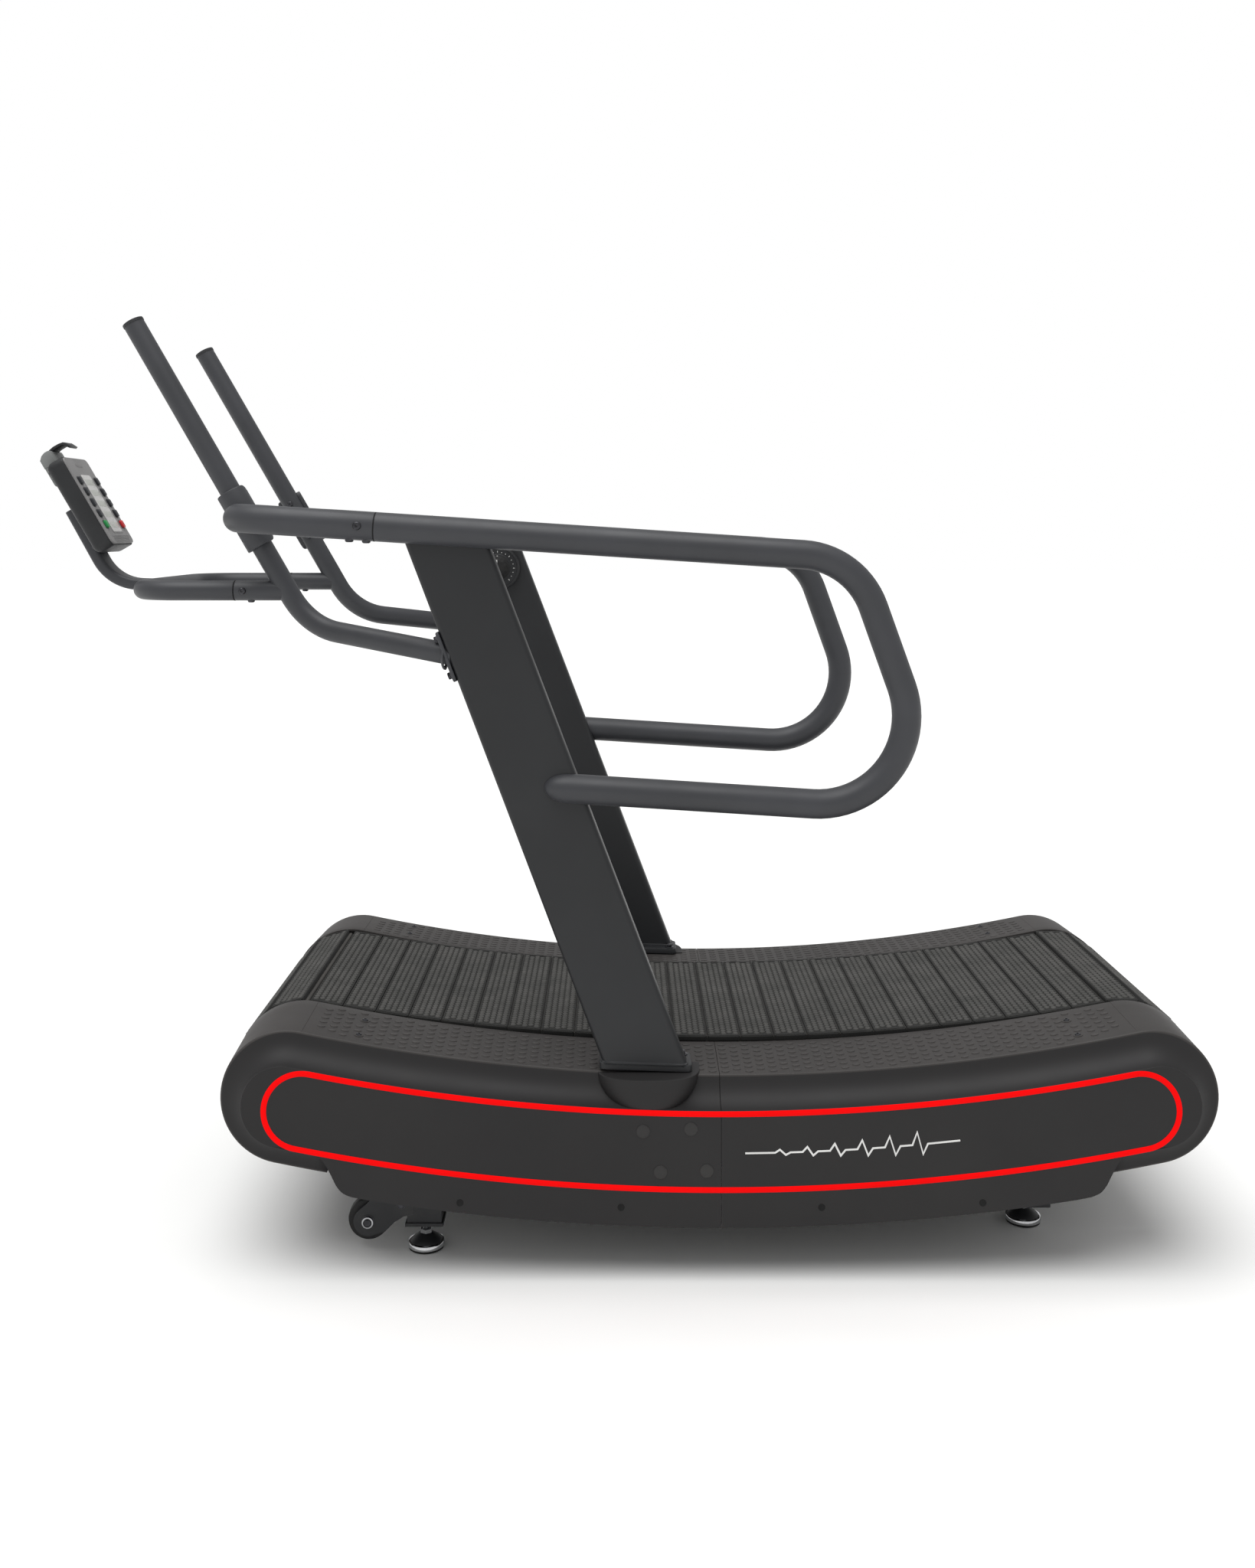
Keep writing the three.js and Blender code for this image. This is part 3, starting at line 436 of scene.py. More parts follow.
# Paler than the slat rubber: painted light for the lit side walls of the slats where the belt bends.
hinge_rubber_painted_light = material(
    "hinge_rubber_painted_light", (58, 56, 54), (68, 66, 63), (0.6, 0.72), cloud=12, grain=900, bump=0.1,
    spec=0.3,
)
black = material(
    "black_rubber", (16, 16, 16), (25, 25, 26), (0.6, 0.75), grain=700, bump=0.15,
    dust=(48, 47, 45), edge_wear_and_glint=(46, 46, 46),
)
plastic = material(
    "black_plastic", (27, 28, 30), (34, 35, 37), (0.44, 0.56), cloud=20, edge_wear_and_glint=(46, 47, 49),
    reach=1.0,
)
grip_cap = material(
    "handle_end_cap", (38, 39, 41), (45, 46, 48), (0.5, 0.62), cloud=30, grain=1500,
    edge_wear_and_glint=(64, 64, 66),
)
# Near-black: painted shade standing in for the insides of holes (in the side face and the wheel hubs), and
# the black seam lines where tubes butt together.
hole_shade_and_seam_dark = material("hole_shade_and_seam_black", (8, 8, 8), (14, 14, 14), (0.8, 0.9), bump=0.04)
steel = material(
    "steel", (150, 151, 153), (186, 187, 189), (0.2, 0.34), 1.0, cloud=30, grain=350,
    streak=(1, 1, 14), bump=0.06,
)
chrome = material(
    "chrome", (205, 206, 208), (228, 229, 231), (0.06, 0.14), 1.0, cloud=25, bump=0.02,
)
# The pale edge colour of the black screws is a painted highlight: the bright ring round each screw head.
black_steel = material(
    "black_screw", (52, 52, 55), (70, 70, 74), (0.26, 0.4), 0.8, cloud=60, edge_wear_and_glint=(150, 150, 152),
    reach=0.8,
)
aluminium = material(
    "cast_aluminium", (120, 121, 123), (150, 151, 152), (0.42, 0.55), 1.0, cloud=20, grain=400,
    bump=0.25,
)
stripe_red = material("red_stripe", (244, 0, 2), (255, 1, 4), (0.55, 0.65), bump=0.03, spec=0.08)
white = material("white_print", (214, 214, 212), (230, 230, 228), (0.4, 0.5), bump=0.03)
panel_grey = material(
    "console_grey", (122, 121, 121), (132, 131, 131), (0.44, 0.54), cloud=12, grain=500, bump=0.02,
    edge_wear_and_glint=(150, 150, 152), reach=1.0,
)
holder_grey = material(
    "holder_grey", (112, 114, 113), (124, 126, 125), (0.44, 0.54), cloud=12, grain=500, bump=0.02,
    edge_wear_and_glint=(138, 140, 140),
)
screen = material(
    "display_window", (184, 183, 182), (196, 195, 193), (0.14, 0.22), cloud=18, grain=120,
    bump=0.002,
)
lcd = material(
    "display_field", (168, 170, 164), (180, 182, 176), (0.16, 0.24), cloud=40, grain=120,
    bump=0.002,
)
green = material(
    "green_key", (22, 128, 62), (32, 146, 74), (0.34, 0.42), cloud=60, edge_wear_and_glint=(90, 176, 118),
    reach=0.8,
)
red = material(
    "red_key", (186, 30, 34), (206, 42, 44), (0.34, 0.42), cloud=60, edge_wear_and_glint=(220, 96, 92), reach=0.8,
)
key_grey = material(
    "dark_key", (34, 36, 40), (46, 48, 52), (0.36, 0.46), cloud=60, edge_wear_and_glint=(84, 84, 92), reach=0.8,
)
floor_white = material(
    "floor_white", (239, 239, 238), (241, 241, 240), (0.75, 0.85), cloud=1.5, grain=90, bump=0.0,
    spec=0.1,
)


# ---- running deck ----
def arc_height(x, d):
    return ARC_Z - sqrt((ARC_R - d) ** 2 - x * x)


def arc_station(a, turn):
    """Place on the deck's middle arc, a from its lowest point, with the direction that turn gives."""
    return ARC_R * sin(a), ARC_Z - ARC_R * cos(a), cos(turn), sin(turn)


UNDER_X = 650.0  # end of the rim under the lobe
LOBE_STEPS, UNDER_STEPS = 41, 4
LOBE_EDGE_X = -706.0  # where the rim leaves the side face under the lobe


def cover_stations():
    """Route of the front cover: under the front lobe, round it and back along the top to the seam."""
    start = asin(UNDER_X / ARC_R)
    under = np.linspace(start, ARC_END, UNDER_STEPS + 1)[:-1]
    stations = [arc_station(-a, -pi / 2 - a) for a in under]
    for a in np.linspace(0, pi, LOBE_STEPS):
        turn = -pi / 2 - ARC_END - a
        stations.append((-DRUM_X, DRUM_Z, cos(turn), sin(turn)))
    groove = [DRUM_X - 1.4, DRUM_X - 1.9, DRUM_X - 2.4]
    along = groove + list(np.linspace(DRUM_X - 20, 20, 34)) + [SEAM_X + 0.6, SEAM_X]
    for x in along:
        a = asin(x / ARC_R)
        stations.append(arc_station(-a, pi / 2 - a))
    return stations, UNDER_STEPS + LOBE_STEPS + 1


def cover_section():
    """Section of the cover as [height outside the arc, distance out]: inner lip, step, crease, rim."""
    section = [(STEP_D - 9, STEP_W), (STEP_D - 1.6, STEP_W)]
    section += [(STEP_D - 0.4, STEP_W + 0.4), (STEP_D, STEP_W + 1.6)]
    slope = (CREASE_D - STEP_D) / (CREASE_W - STEP_W)
    section += [(STEP_D + slope * (w - STEP_W), w) for w in (260, 290, 320, 350, CREASE_W - 5)]
    section += [(CREASE_D - 0.1, CREASE_W - 2.2), (CREASE_D - 1.3, CREASE_W - 0.6)]
    section.append((CREASE_D - 3.4, CREASE_W))
    rise, reach = CREASE_D - FACE_D, FACE_W - CREASE_W
    for a in np.radians(np.linspace(10, 86, 13)):
        section.append((CREASE_D - rise * sin(a), CREASE_W + reach * (1 - cos(a))))
    section += [(FACE_D - 0.1, FACE_W - 1.2), (FACE_D - 0.5, FACE_W - 0.3), (FACE_D - 1.5, FACE_W)]
    return section


def skirt_outline():
    """Lower edge of the side face, from under the lobe to the seam."""
    knots = [(LOBE_EDGE_X, 222), (-690, 219), (-676, 211), (-664, 196)]
    knots += [(-654, 178), (-645, 160), (-634, 148), (-616, 140.5)]
    smooth = []
    for i in range(len(knots) - 1):
        p = [np.array(knots[max(0, min(len(knots) - 1, i + k))], float) for k in (-1, 0, 1, 2)]
        for t in np.linspace(0, 1, 5)[:-1]:
            a, b = p[1] * 2, p[2] - p[0]
            c, d = 2 * p[0] - 5 * p[1] + 4 * p[2] - p[3], 3 * p[1] - p[0] - 3 * p[2] + p[3]
            smooth.append(tuple((a + b * t + c * t * t + d * t ** 3) / 2))
    smooth += [(x, arc_height(x, -SKIRT_D)) for x in np.linspace(-596, -SEAM_X, 40)]
    return smooth


def side_cover():
    shape = Shape()
    stations, groove_at = cover_stations()
    section = cover_section()
    rows = []
    for i, (x, z, nx, nz) in enumerate(stations):
        row = []
        for d, w in section:
            if i == groove_at and w < CREASE_W - 3:
                d -= 0.6
            row.append((x + nx * d, -w, z + nz * d))
        rows.append(row)
    crease = next(i for i, (_, w) in enumerate(section) if w >= CREASE_W)
    shape.strip([row[:crease + 1] for row in rows])
    # The rim below the crease takes the darker copy of the plastic: painted shade.
    shape.strip([row[crease:] for row in rows], 1)
    edge = [row[-1] for row in rows]
    lobe_end = next(i for i, p in enumerate(edge) if p[0] < LOBE_EDGE_X and i >= UNDER_STEPS)
    ring = [(p[0], p[2]) for p in edge[lobe_end:]]
    outline = ring[::-1] + skirt_outline()
    # The side face takes the darker copy of the plastic too: painted shade.
    face = [(x, -FACE_W, z) for x, z in outline]
    shape.add(face, [tuple(range(len(face)))], 1)
    return shape


def corbel():
    """Swelling of the rim that carries the upright's flange."""
    shape = Shape()
    rows = []
    middle_x, middle_y = -122, -340
    top, bottom = 335.5, arc_height(middle_x, FACE_D) - 2
    heights = [(0, -4), (0, -1.2), (0.012, -0.2), (0.04, 0)] + [(t, 0) for t in np.linspace(0.1, 1, 14)]
    for t, inset in heights:
        rx = 89 - 24 * t ** 2.2 + inset
        ry = 79.5 + 1.9 * t + inset
        z = top + (bottom - top) * t
        row = []
        for a in np.radians(np.linspace(178, 362, 45)):
            x = rx * copysign(abs(cos(a)) ** 0.8, cos(a))
            y = ry * copysign(abs(sin(a)) ** 0.62, sin(a))
            row.append((middle_x + x, middle_y + y, z))
        rows.append(row)
    shape.rings(rows)
    return shape


def step_point(x, w):
    """Point of the step's surface and the directions outward and along, for a place on the front half."""
    d = STEP_D + (CREASE_D - STEP_D) / (CREASE_W - STEP_W) * (w - STEP_W)
    a = asin(x / (ARC_R - d))
    point = np.array((-x, -w, ARC_Z - (ARC_R - d) * cos(a)))
    return point, np.array((sin(a), 0, cos(a))), np.array((cos(a), 0, -sin(a)))


STEP_SCREW_X, STEP_SCREW_W = 621.0, (280.0, 345.0)


def step_nubs(post_side):
    """Oval grip bumps of the step, in staggered columns; the front half leaves the post's foot free."""
    shape = Shape()
    pitch_x, pitch_w, rx, rw = 20.5, 19.0, 7.0, 4.5
    for column in range(34):
        x = 11 + pitch_x * column
        for row in range(7):
            w = (251 if column % 2 == 0 else 260.5) + row * pitch_w
            limit = 704 if w < 350 else 662 if w < 360 else 620
            if w > 370 or x > limit or (post_side and 38 < x < 216 and w > 300):
                continue
            if any(hypot((x - STEP_SCREW_X) / 1.2, w - sw) < 12 for sw in STEP_SCREW_W):
                continue
            foot, n, t = step_point(x, w)
            rim = []
            for b in around(16):
                # The edge away from the belt bows out more than the edge next to it.
                across = sin(b) * rw * (1.0 if sin(b) > 0 else 0.7)
                rim.append(t * cos(b) * rx - np.array(RIGHT) * across)
            levels = ((1.03, -0.4), (1.0, 0.5), (0.93, 0.95), (0.74, 1.22), (0.4, 1.34))
            shape.rings([[foot + arm * size + n * lift for arm in rim] for size, lift in levels])
    return shape


def screw_set():
    """Countersunk screws on the step, and near-black discs on the side face that are painted shade standing
    in for its holes, front and rear alike.
    """
    shape = Shape()
    for w in STEP_SCREW_W:
        foot, n, _ = step_point(STEP_SCREW_X, w)
        lathe(shape, [(0, -1), (8.5, -1), (8.5, 0.5), (7.6, 0.9), (5.4, 0.7), (0, 0.6)], foot, n, 24, 1)
        socket_screw(shape, foot, n, 5.2, 0)
    # Near-black disc: painted shade for the inside of each of the side face's holes.
    skirt_hole_shade = [(0, -1), (6, -1), (6, 0.35), (5.2, 0.6), (4.4, 0.2), (0, 0.1)]
    for x, z in ((-438, 132.5), (-168, 125)):
        lathe(shape, skirt_hole_shade, (x, -FACE_W, z), LEFT, 24, 2)
    return shape


def build_covers():
    front = side_cover()
    rear = front.mirrored(0)
    for where, half in (("front", front), ("rear", rear)):
        half.pair(
            f"side_cover_{where}", "shell", [cover, cover_painted_shade], "cover",
            solid=3.4, up=LEFT, weld=0.02, sharp=28,
        )
    screws = screw_set()
    for where, flip in (("front", False), ("rear", True)):
        bumps = step_nubs(False).mirrored(0) if flip else step_nubs(True)
        bumps.pair(f"step_nubs_{where}", "grip", [nub], "cover", replaced=False, sharp=60)
        heads = screws.mirrored(0) if flip else screws
        finishes = [black_steel, cover, hole_shade_and_seam_dark]
        heads.pair(f"cover_screws_{where}", "heads", finishes, "steel", replaced=False)
    # The corbel takes the same painted shade as the rim.
    corbel().pair("post_corbel", "rim", [cover_painted_shade], "cover", replaced=False)
    plugs = Shape()
    for x, z in ((-131, 252), (-51, 256), (-102, 184), (-24.5, 186)):
        cap = [(0, -1), (11.2, -1), (11.2, 0.7), (10.4, 1.3), (6, 1.75), (0, 1.9)]
        lathe(plugs, cap, (x, -FACE_W, z), LEFT, 32)
    plugs.pair("cover_plugs", "caps", [plug], "cover", replaced=False)


STRIPE_END_X, STRIPE_RISE, STRIPE_HALF = 704.0, 63.5, 4.75


def build_stripe():
    """Thin red band that runs round the side face as a long loop."""
    end, quarter = asin(STRIPE_END_X / ARC_R), pi / 2
    run, bend = np.linspace(-end, end, 61), np.linspace(0, pi, 33)[1:-1]
    loop = [arc_station(a, quarter + a) for a in run]
    loop += [arc_station(end, quarter + end - k) for k in bend]
    loop += [arc_station(a, a - quarter) for a in reversed(run)]
    loop += [arc_station(-end, -quarter - end - k) for k in bend]
    wide = STRIPE_HALF
    section = [(-wide, -0.5), (-wide, 0.3), (0.4 - wide, 0.55), (wide - 0.4, 0.55), (wide, 0.3), (wide, -0.5)]
    rows = []
    for x, z, nx, nz in loop:
        rises = [(STRIPE_RISE + offset, lift) for offset, lift in section]
        rows.append([(x + nx * rise, -FACE_W - lift, z + nz * rise) for rise, lift in rises])
    shape = Shape()
    shape.rings(rows, closed=True)
    shape.pair("side_stripe", "band", [stripe_red], "red", replaced=False)


def build_pulse():
    """A plain printed zigzag on the rear half of the side face: even teeth that grow towards the rear."""
    points = [(40.0, 0.0)]
    teeth, step = 6, 46.0
    for i in range(teeth):
        x, high = 90 + i * step, 5 + 3.2 * i
        points += [(x, 0), (x + 8, high), (x + 18, -high * 0.8), (x + 26, 0)]
    points.append((400.0, 0.0))
    shape = Shape()
    half = 1.5
    path = [np.array((x, arc_height(x, 0) - 2 + h)) for x, h in points]
    rows = []
    for i, p in enumerate(path):
        before = unit(path[i] - path[i - 1]) if i else unit(path[1] - path[0])
        after = unit(path[i + 1] - path[i]) if i < len(path) - 1 else before
        mitre = unit(before + after)
        side = np.array((-mitre[1], mitre[0])) * half / max(0.5, float(mitre @ before))
        a, b = p + side, p - side
        y0, y1 = -FACE_W + 0.5, -FACE_W - 0.4
        rows.append([(a[0], y0, a[1]), (a[0], y1, a[1]), (b[0], y1, b[1]), (b[0], y0, b[1])])
    shape.rings(rows)
    shape.pair("side_zigzag", "print", [white], "panel", replaced=False)


# ---- slat belt ----
class BeltRoute:
    """Pitch line of the belt: upper run, rear drum, lower run, front drum."""

    def __init__(self):
        total = DRUM_X ** 2 + DRUM_Z ** 2
        self.top_z = (total - (BELT_MID_Z - PITCH_R) ** 2) / (2 * (DRUM_Z + PITCH_R - BELT_MID_Z))
        self.low_z = (total - (RETURN_MID_Z + PITCH_R) ** 2) / (2 * (DRUM_Z - PITCH_R - RETURN_MID_Z))
        self.top_r, self.low_r = self.top_z - BELT_MID_Z, self.low_z - RETURN_MID_Z
        self.top_half = atan2(DRUM_X, self.top_z - DRUM_Z)
        self.low_half = atan2(DRUM_X, self.low_z - DRUM_Z)
        wrap = pi - self.top_half + self.low_half
        top_run, low_run = 2 * self.top_half * self.top_r, 2 * self.low_half * self.low_r
        self.lengths = [top_run, wrap * PITCH_R, low_run, wrap * PITCH_R]
        self.total = sum(self.lengths)

    def at(self, distance):
        s = distance % self.total
        piece = 0
        while piece < 3 and s > self.lengths[piece]:
            s -= self.lengths[piece]
            piece += 1
        if piece == 0:
            a = -self.top_half + s / self.top_r
            return self.top_r * sin(a), self.top_z - self.top_r * cos(a), pi / 2 + a
        if piece == 2:
            a = self.low_half - s / self.low_r
            return self.low_r * sin(a), self.low_z - self.low_r * cos(a), -pi / 2 + a
        side = 1 if piece == 1 else -1
        start = pi / 2 + self.top_half if piece == 1 else -pi / 2 - self.low_half
        a = start - s / PITCH_R
        return side * DRUM_X + PITCH_R * cos(a), DRUM_Z + PITCH_R * sin(a), a


def slat_body(half):
    """One slat along Y: [along the belt, across, out]; a sunk field inside a raised border."""
    shape = Shape()
    top, field, border = 12.7, 11.7, 2.2
    edge = [(half - border - 0.5, field), (half - border, top), (half - 1.2, top)]
    edge += [(half - 0.4, top - 0.4), (half, top - 1.2), (half, 3)]
    profile = [(-t, h) for t, h in reversed(edge)] + edge
    inset = [(t * (half - 1) / half, 3.6 if h == 3 else h - 1) for t, h in profile]
    rings = [[(t, -SLAT_W, h) for t, h in inset], [(t, -SLAT_W + 1, h) for t, h in profile]]
    rings += [[(t, SLAT_W - 1, h) for t, h in profile], [(t, SLAT_W, h) for t, h in inset]]
    shape.rings(rings)
    for side in (-1, 1):
        end = side * (SLAT_W - 1.4)
        y0, y1 = sorted((end, end - side * 6.5))
        wide, low = half - 1.4, field - 0.5
        border_bar = [(-wide, low), (wide, low), (wide, top), (-wide, top)]
        shape.rings([[(t, y, h) for t, h in border_bar] for y in (y0, y1)])
    return shape


NUB_COLUMNS, NUB_ROWS = 5, 36
HINGE_R = 4.6


def slat_nubs():
    """Grip nubs of one slat, as points and faces: hexagons in staggered columns that interlock."""
    pitch_t, pitch_y, reach_t, reach_y = 10.7, 12.2, 5.7, 6.1
    points, faces = [], []
    sides = 6
    for column in range(NUB_COLUMNS):
        t = (column - (NUB_COLUMNS - 1) / 2) * pitch_t
        for row in range(NUB_ROWS - (column % 2)):
            y = (row - (NUB_ROWS - 1) / 2 + (0.5 if column % 2 else 0)) * pitch_y
            base = len(points)
            for size, h in ((1.0, 11.5), (0.9, 12.9), (0.66, 13.4)):
                for a in around(sides):
                    points.append((t + reach_t * size * cos(a), y + reach_y * size * sin(a), h))
            for ring in range(2):
                a, b = base + ring * sides, base + (ring + 1) * sides
                faces += [(a + k, a + (k + 1) % sides, b + (k + 1) % sides, b + k) for k in range(sides)]
            faces.append(tuple(base + 2 * sides + k for k in range(sides)))
    return np.array(points), faces


def build_belt():
    """Slats with their nubs and hinge rods, and the two toothed belts that carry them."""
    route = BeltRoute()
    count = round(route.total / SLAT_PITCH)
    pitch = route.total / count
    half = pitch / 2 - 0.9
    body = slat_body(half)
    body_points = np.array(body.points)
    nub_points, nub_faces = slat_nubs()
    slats, nubs = Shape(), Shape()
    for i in range(count):
        x, z, turn = route.at(i * pitch + SLAT_PHASE)
        out = heading(turn)
        spin = np.stack([(out[2], 0, -out[0]), RIGHT, out])
        place = np.array((x, 0, z))
        slats.add(body_points @ spin + place, body.faces)
        nubs.add(nub_points @ spin + place, nub_faces)
        # Round hinge strip between this slat and the next, seen only where the belt bends; its paler rubber
        # is painted light standing in for the lit side walls of the slats there
        x, z, turn = route.at((i + 0.5) * pitch + SLAT_PHASE)
        start = np.array((x, -SLAT_W + 3, z)) + heading(turn) * HINGE_R
        long = 2 * SLAT_W - 6
        lathe(slats, [(0, 0), (HINGE_R, 0), (HINGE_R, long), (0, long)], start, RIGHT, 16, 1)
    # Slats in the shaded copy of the rubber, nubs in the lit copy: painted shade and painted light.
    slats.build("slat_belt_slats", "frame", [tread_painted_shade, hinge_rubber_painted_light], "slat", ["slat_belt"], sharp=40)
    nubs.build("slat_belt_nubs", "frame", [tread_nub_painted_light], "slat", up=False, sharp=80)
    band = Shape()
    band_w, half_w = 194.0, 20
    section = [(-half_w, -3), (-half_w, 3.2), (half_w, 3.2), (half_w, -3)]
    section += [(12, -3), (9, -1.4), (3, -1.4), (0, -3), (-3, -1.4), (-9, -1.4), (-12, -3)]
    for side in (-1, 1):
        rings = []
        for s in np.linspace(0, route.total, 181)[:-1]:
            x, z, turn = route.at(s)
            rings.append([np.array((x, side * band_w + w, z)) + heading(turn) * h for w, h in section])
        band.rings(rings, closed=True)
    band.build("slat_belt_carriers", "frame", [black], "slat")


# ---- uprights and rails ----
def post_middle(z):
    return POST_BASE_X - (z - 345) * tan(LEAN)


RAIL_SLOPE = 0.0647  # fall of the top rail per unit towards the rear


def rail_height(x):
    return 1221.8 - RAIL_SLOPE * (x - 80.2)


def bar_height(x):
    return 793.1 + (159 - x) * 0.0629


def flange_height(x):
    return 338.2 - (x - POST_BASE_X) * 0.0351


def build_uprights():
    """Flat tube of each upright, cut along the flange below and the rail above, on its bolted flange."""
    shape = Shape()
    corner = rounded_rect(POST_CHORD, POST_T, 9.5, 7)

    def ring(height):
        points = []
        for dx, dy in corner:
            z = height(dx)
            points.append((post_middle(z) + dx, -POST_W + dy, z))
        return points

    def top(dx):
        z = 1255.0
        for _ in range(4):
            z = rail_height(post_middle(z) + dx) + 3
        return z

    rings = [ring(lambda dx: flange_height(POST_BASE_X + dx) + 11)]
    rings += [ring(lambda dx, z=z: z) for z in np.linspace(420, 1180, 9)]
    rings.append(ring(top))
    shape.rings(rings)
    # Weld bead where the tube meets its flange
    bead = []
    for t in around(90):
        k = t / (2 * pi) * len(corner)
        a, b = np.array(corner[int(k) % len(corner)]), np.array(corner[(int(k) + 1) % len(corner)])
        dx, dy = a + (b - a) * (k - int(k))
        x = POST_BASE_X + dx
        outward = unit((dx / 71, dy / 21, 0.0))
        centre = np.array((post_middle(flange_height(x) + 12) + dx, -POST_W + dy, flange_height(x) + 12.2))
        swell = 2.6 + 0.35 * sin(t * 46)
        arms = [outward * cos(c) + np.array(UP) * sin(c) for c in around(8)]
        bead.append([centre + swell * arm for arm in arms])
    shape.rings(bead, closed=True)
    long, wide = 158, 66
    plate_x, plate_y = -126.0, -349.0
    rings = []
    for inset, lift in ((1.2, 0), (0, 1.2), (0, 10.6), (0.5, 11.6), (1.6, 12)):
        along, across = 1 - inset / (long / 2), 1 - inset / (wide / 2)
        rings.append([
            (plate_x + x * along, plate_y + y * across, flange_height(plate_x + x) + lift)
            for x, y in rounded_rect(long, wide, 9, 5)
        ])
    shape.rings(rings)
    for x in (-190, -126, -62):
        hex_bolt(shape, (x, -327, flange_height(x) + 12), (0.035, 0, 1), 5.5, 1)
    # The uprights take the darker copy of the coat: painted shade.
    shape.pair("upright", "post", [post_coat_painted_shade, black_steel], "frame", sharp=42)


def seam_ring(shape, origin, axis, r, mark=1):
    """Dark line where two tubes butt together."""
    section = [(r - 1, -0.9), (r + 0.25, -0.9), (r + 0.35, 0), (r + 0.25, 0.9), (r - 1, 0.9), (r - 1, -0.9)]
    lathe(shape, section, origin, axis, 40, mark)


def build_handrails():
    """Rear loop of each rail in one bent tube, and the front rail with its clamp."""
    shape = Shape()
    corners = [
        (RAIL_JOINT_X + GAP, -RAIL_W, rail_height(RAIL_JOINT_X)), (232, -RAIL_W, rail_height(232)),
        (386, -RAIL_W, bar_height(386)), (BAR_END_X, -RAIL_W, bar_height(BAR_END_X)),
    ]
    tube(shape, corners, [135, 150], RAIL_R, 44, nose=BAR_NOSE)
    shape.pair("handrail", "tube", [coat], "frame", sharp=50)

    front = Shape()
    joint = (RAIL_JOINT_X - GAP, -RAIL_W, rail_height(RAIL_JOINT_X))
    turn = (RAIL_TURN_X, -RAIL_W, rail_height(RAIL_TURN_X))
    tube(front, [joint, turn, (RAIL_TURN_X, -HANDLE_W - 16, CLAMP_Z)], [75], RAIL_R, 44)
    seam = (RAIL_JOINT_X, -RAIL_W, rail_height(RAIL_JOINT_X))
    seam_ring(front, seam, unit((-1, 0, RAIL_SLOPE)), RAIL_R, 1)
    side_x, sunk, screw_r = -614, 0.6, 7.5
    side = (side_x, -RAIL_W - RAIL_R + sunk, rail_height(side_x))
    socket_screw(front, side, LEFT, screw_r, 2)
    for x in (-602, -631):
        socket_screw(front, (x, -RAIL_W, rail_height(x) - RAIL_R + sunk), DOWN, screw_r, 2)
    build_clamp(front)
    front.pair("front_rail", "tube", [coat, hole_shade_and_seam_dark, black_steel], "frame", sharp=45)


def handle_x(z):
    return -896.2 - (z - 1370) * HANDLE_SLOPE


def build_clamp(shape):
    """Saddle on the end of the front rail, bent round the outer half of the push handle."""
    axis = unit((-HANDLE_SLOPE, 0, 1))
    forward = unit((-1, 0, -HANDLE_SLOPE))
    outward = np.array((0, -1.0, 0))
    origin = np.array((handle_x(CLAMP_Z), -HANDLE_W, CLAMP_Z))
    inner, r, long, corner, edge = HANDLE_R + 0.4, 27.0, 57.0, 12.0, 1.6
    rings = []
    for a in np.radians(np.linspace(-90, 90, 37)):
        past = max(0.0, abs(a) * r - (pi / 2 * r - corner))
        half = long - corner + sqrt(max(0.0, corner ** 2 - past ** 2))
        top = [(r, half - edge), (r - 0.3 * edge, half - 0.3 * edge), (r - edge, half), (inner, half)]
        section = [(reach, -along) for reach, along in reversed(top)] + top
        radial = outward * cos(a) + forward * sin(a)
        rings.append([origin + radial * reach + axis * along for reach, along in section])
    shape.rings(rings)


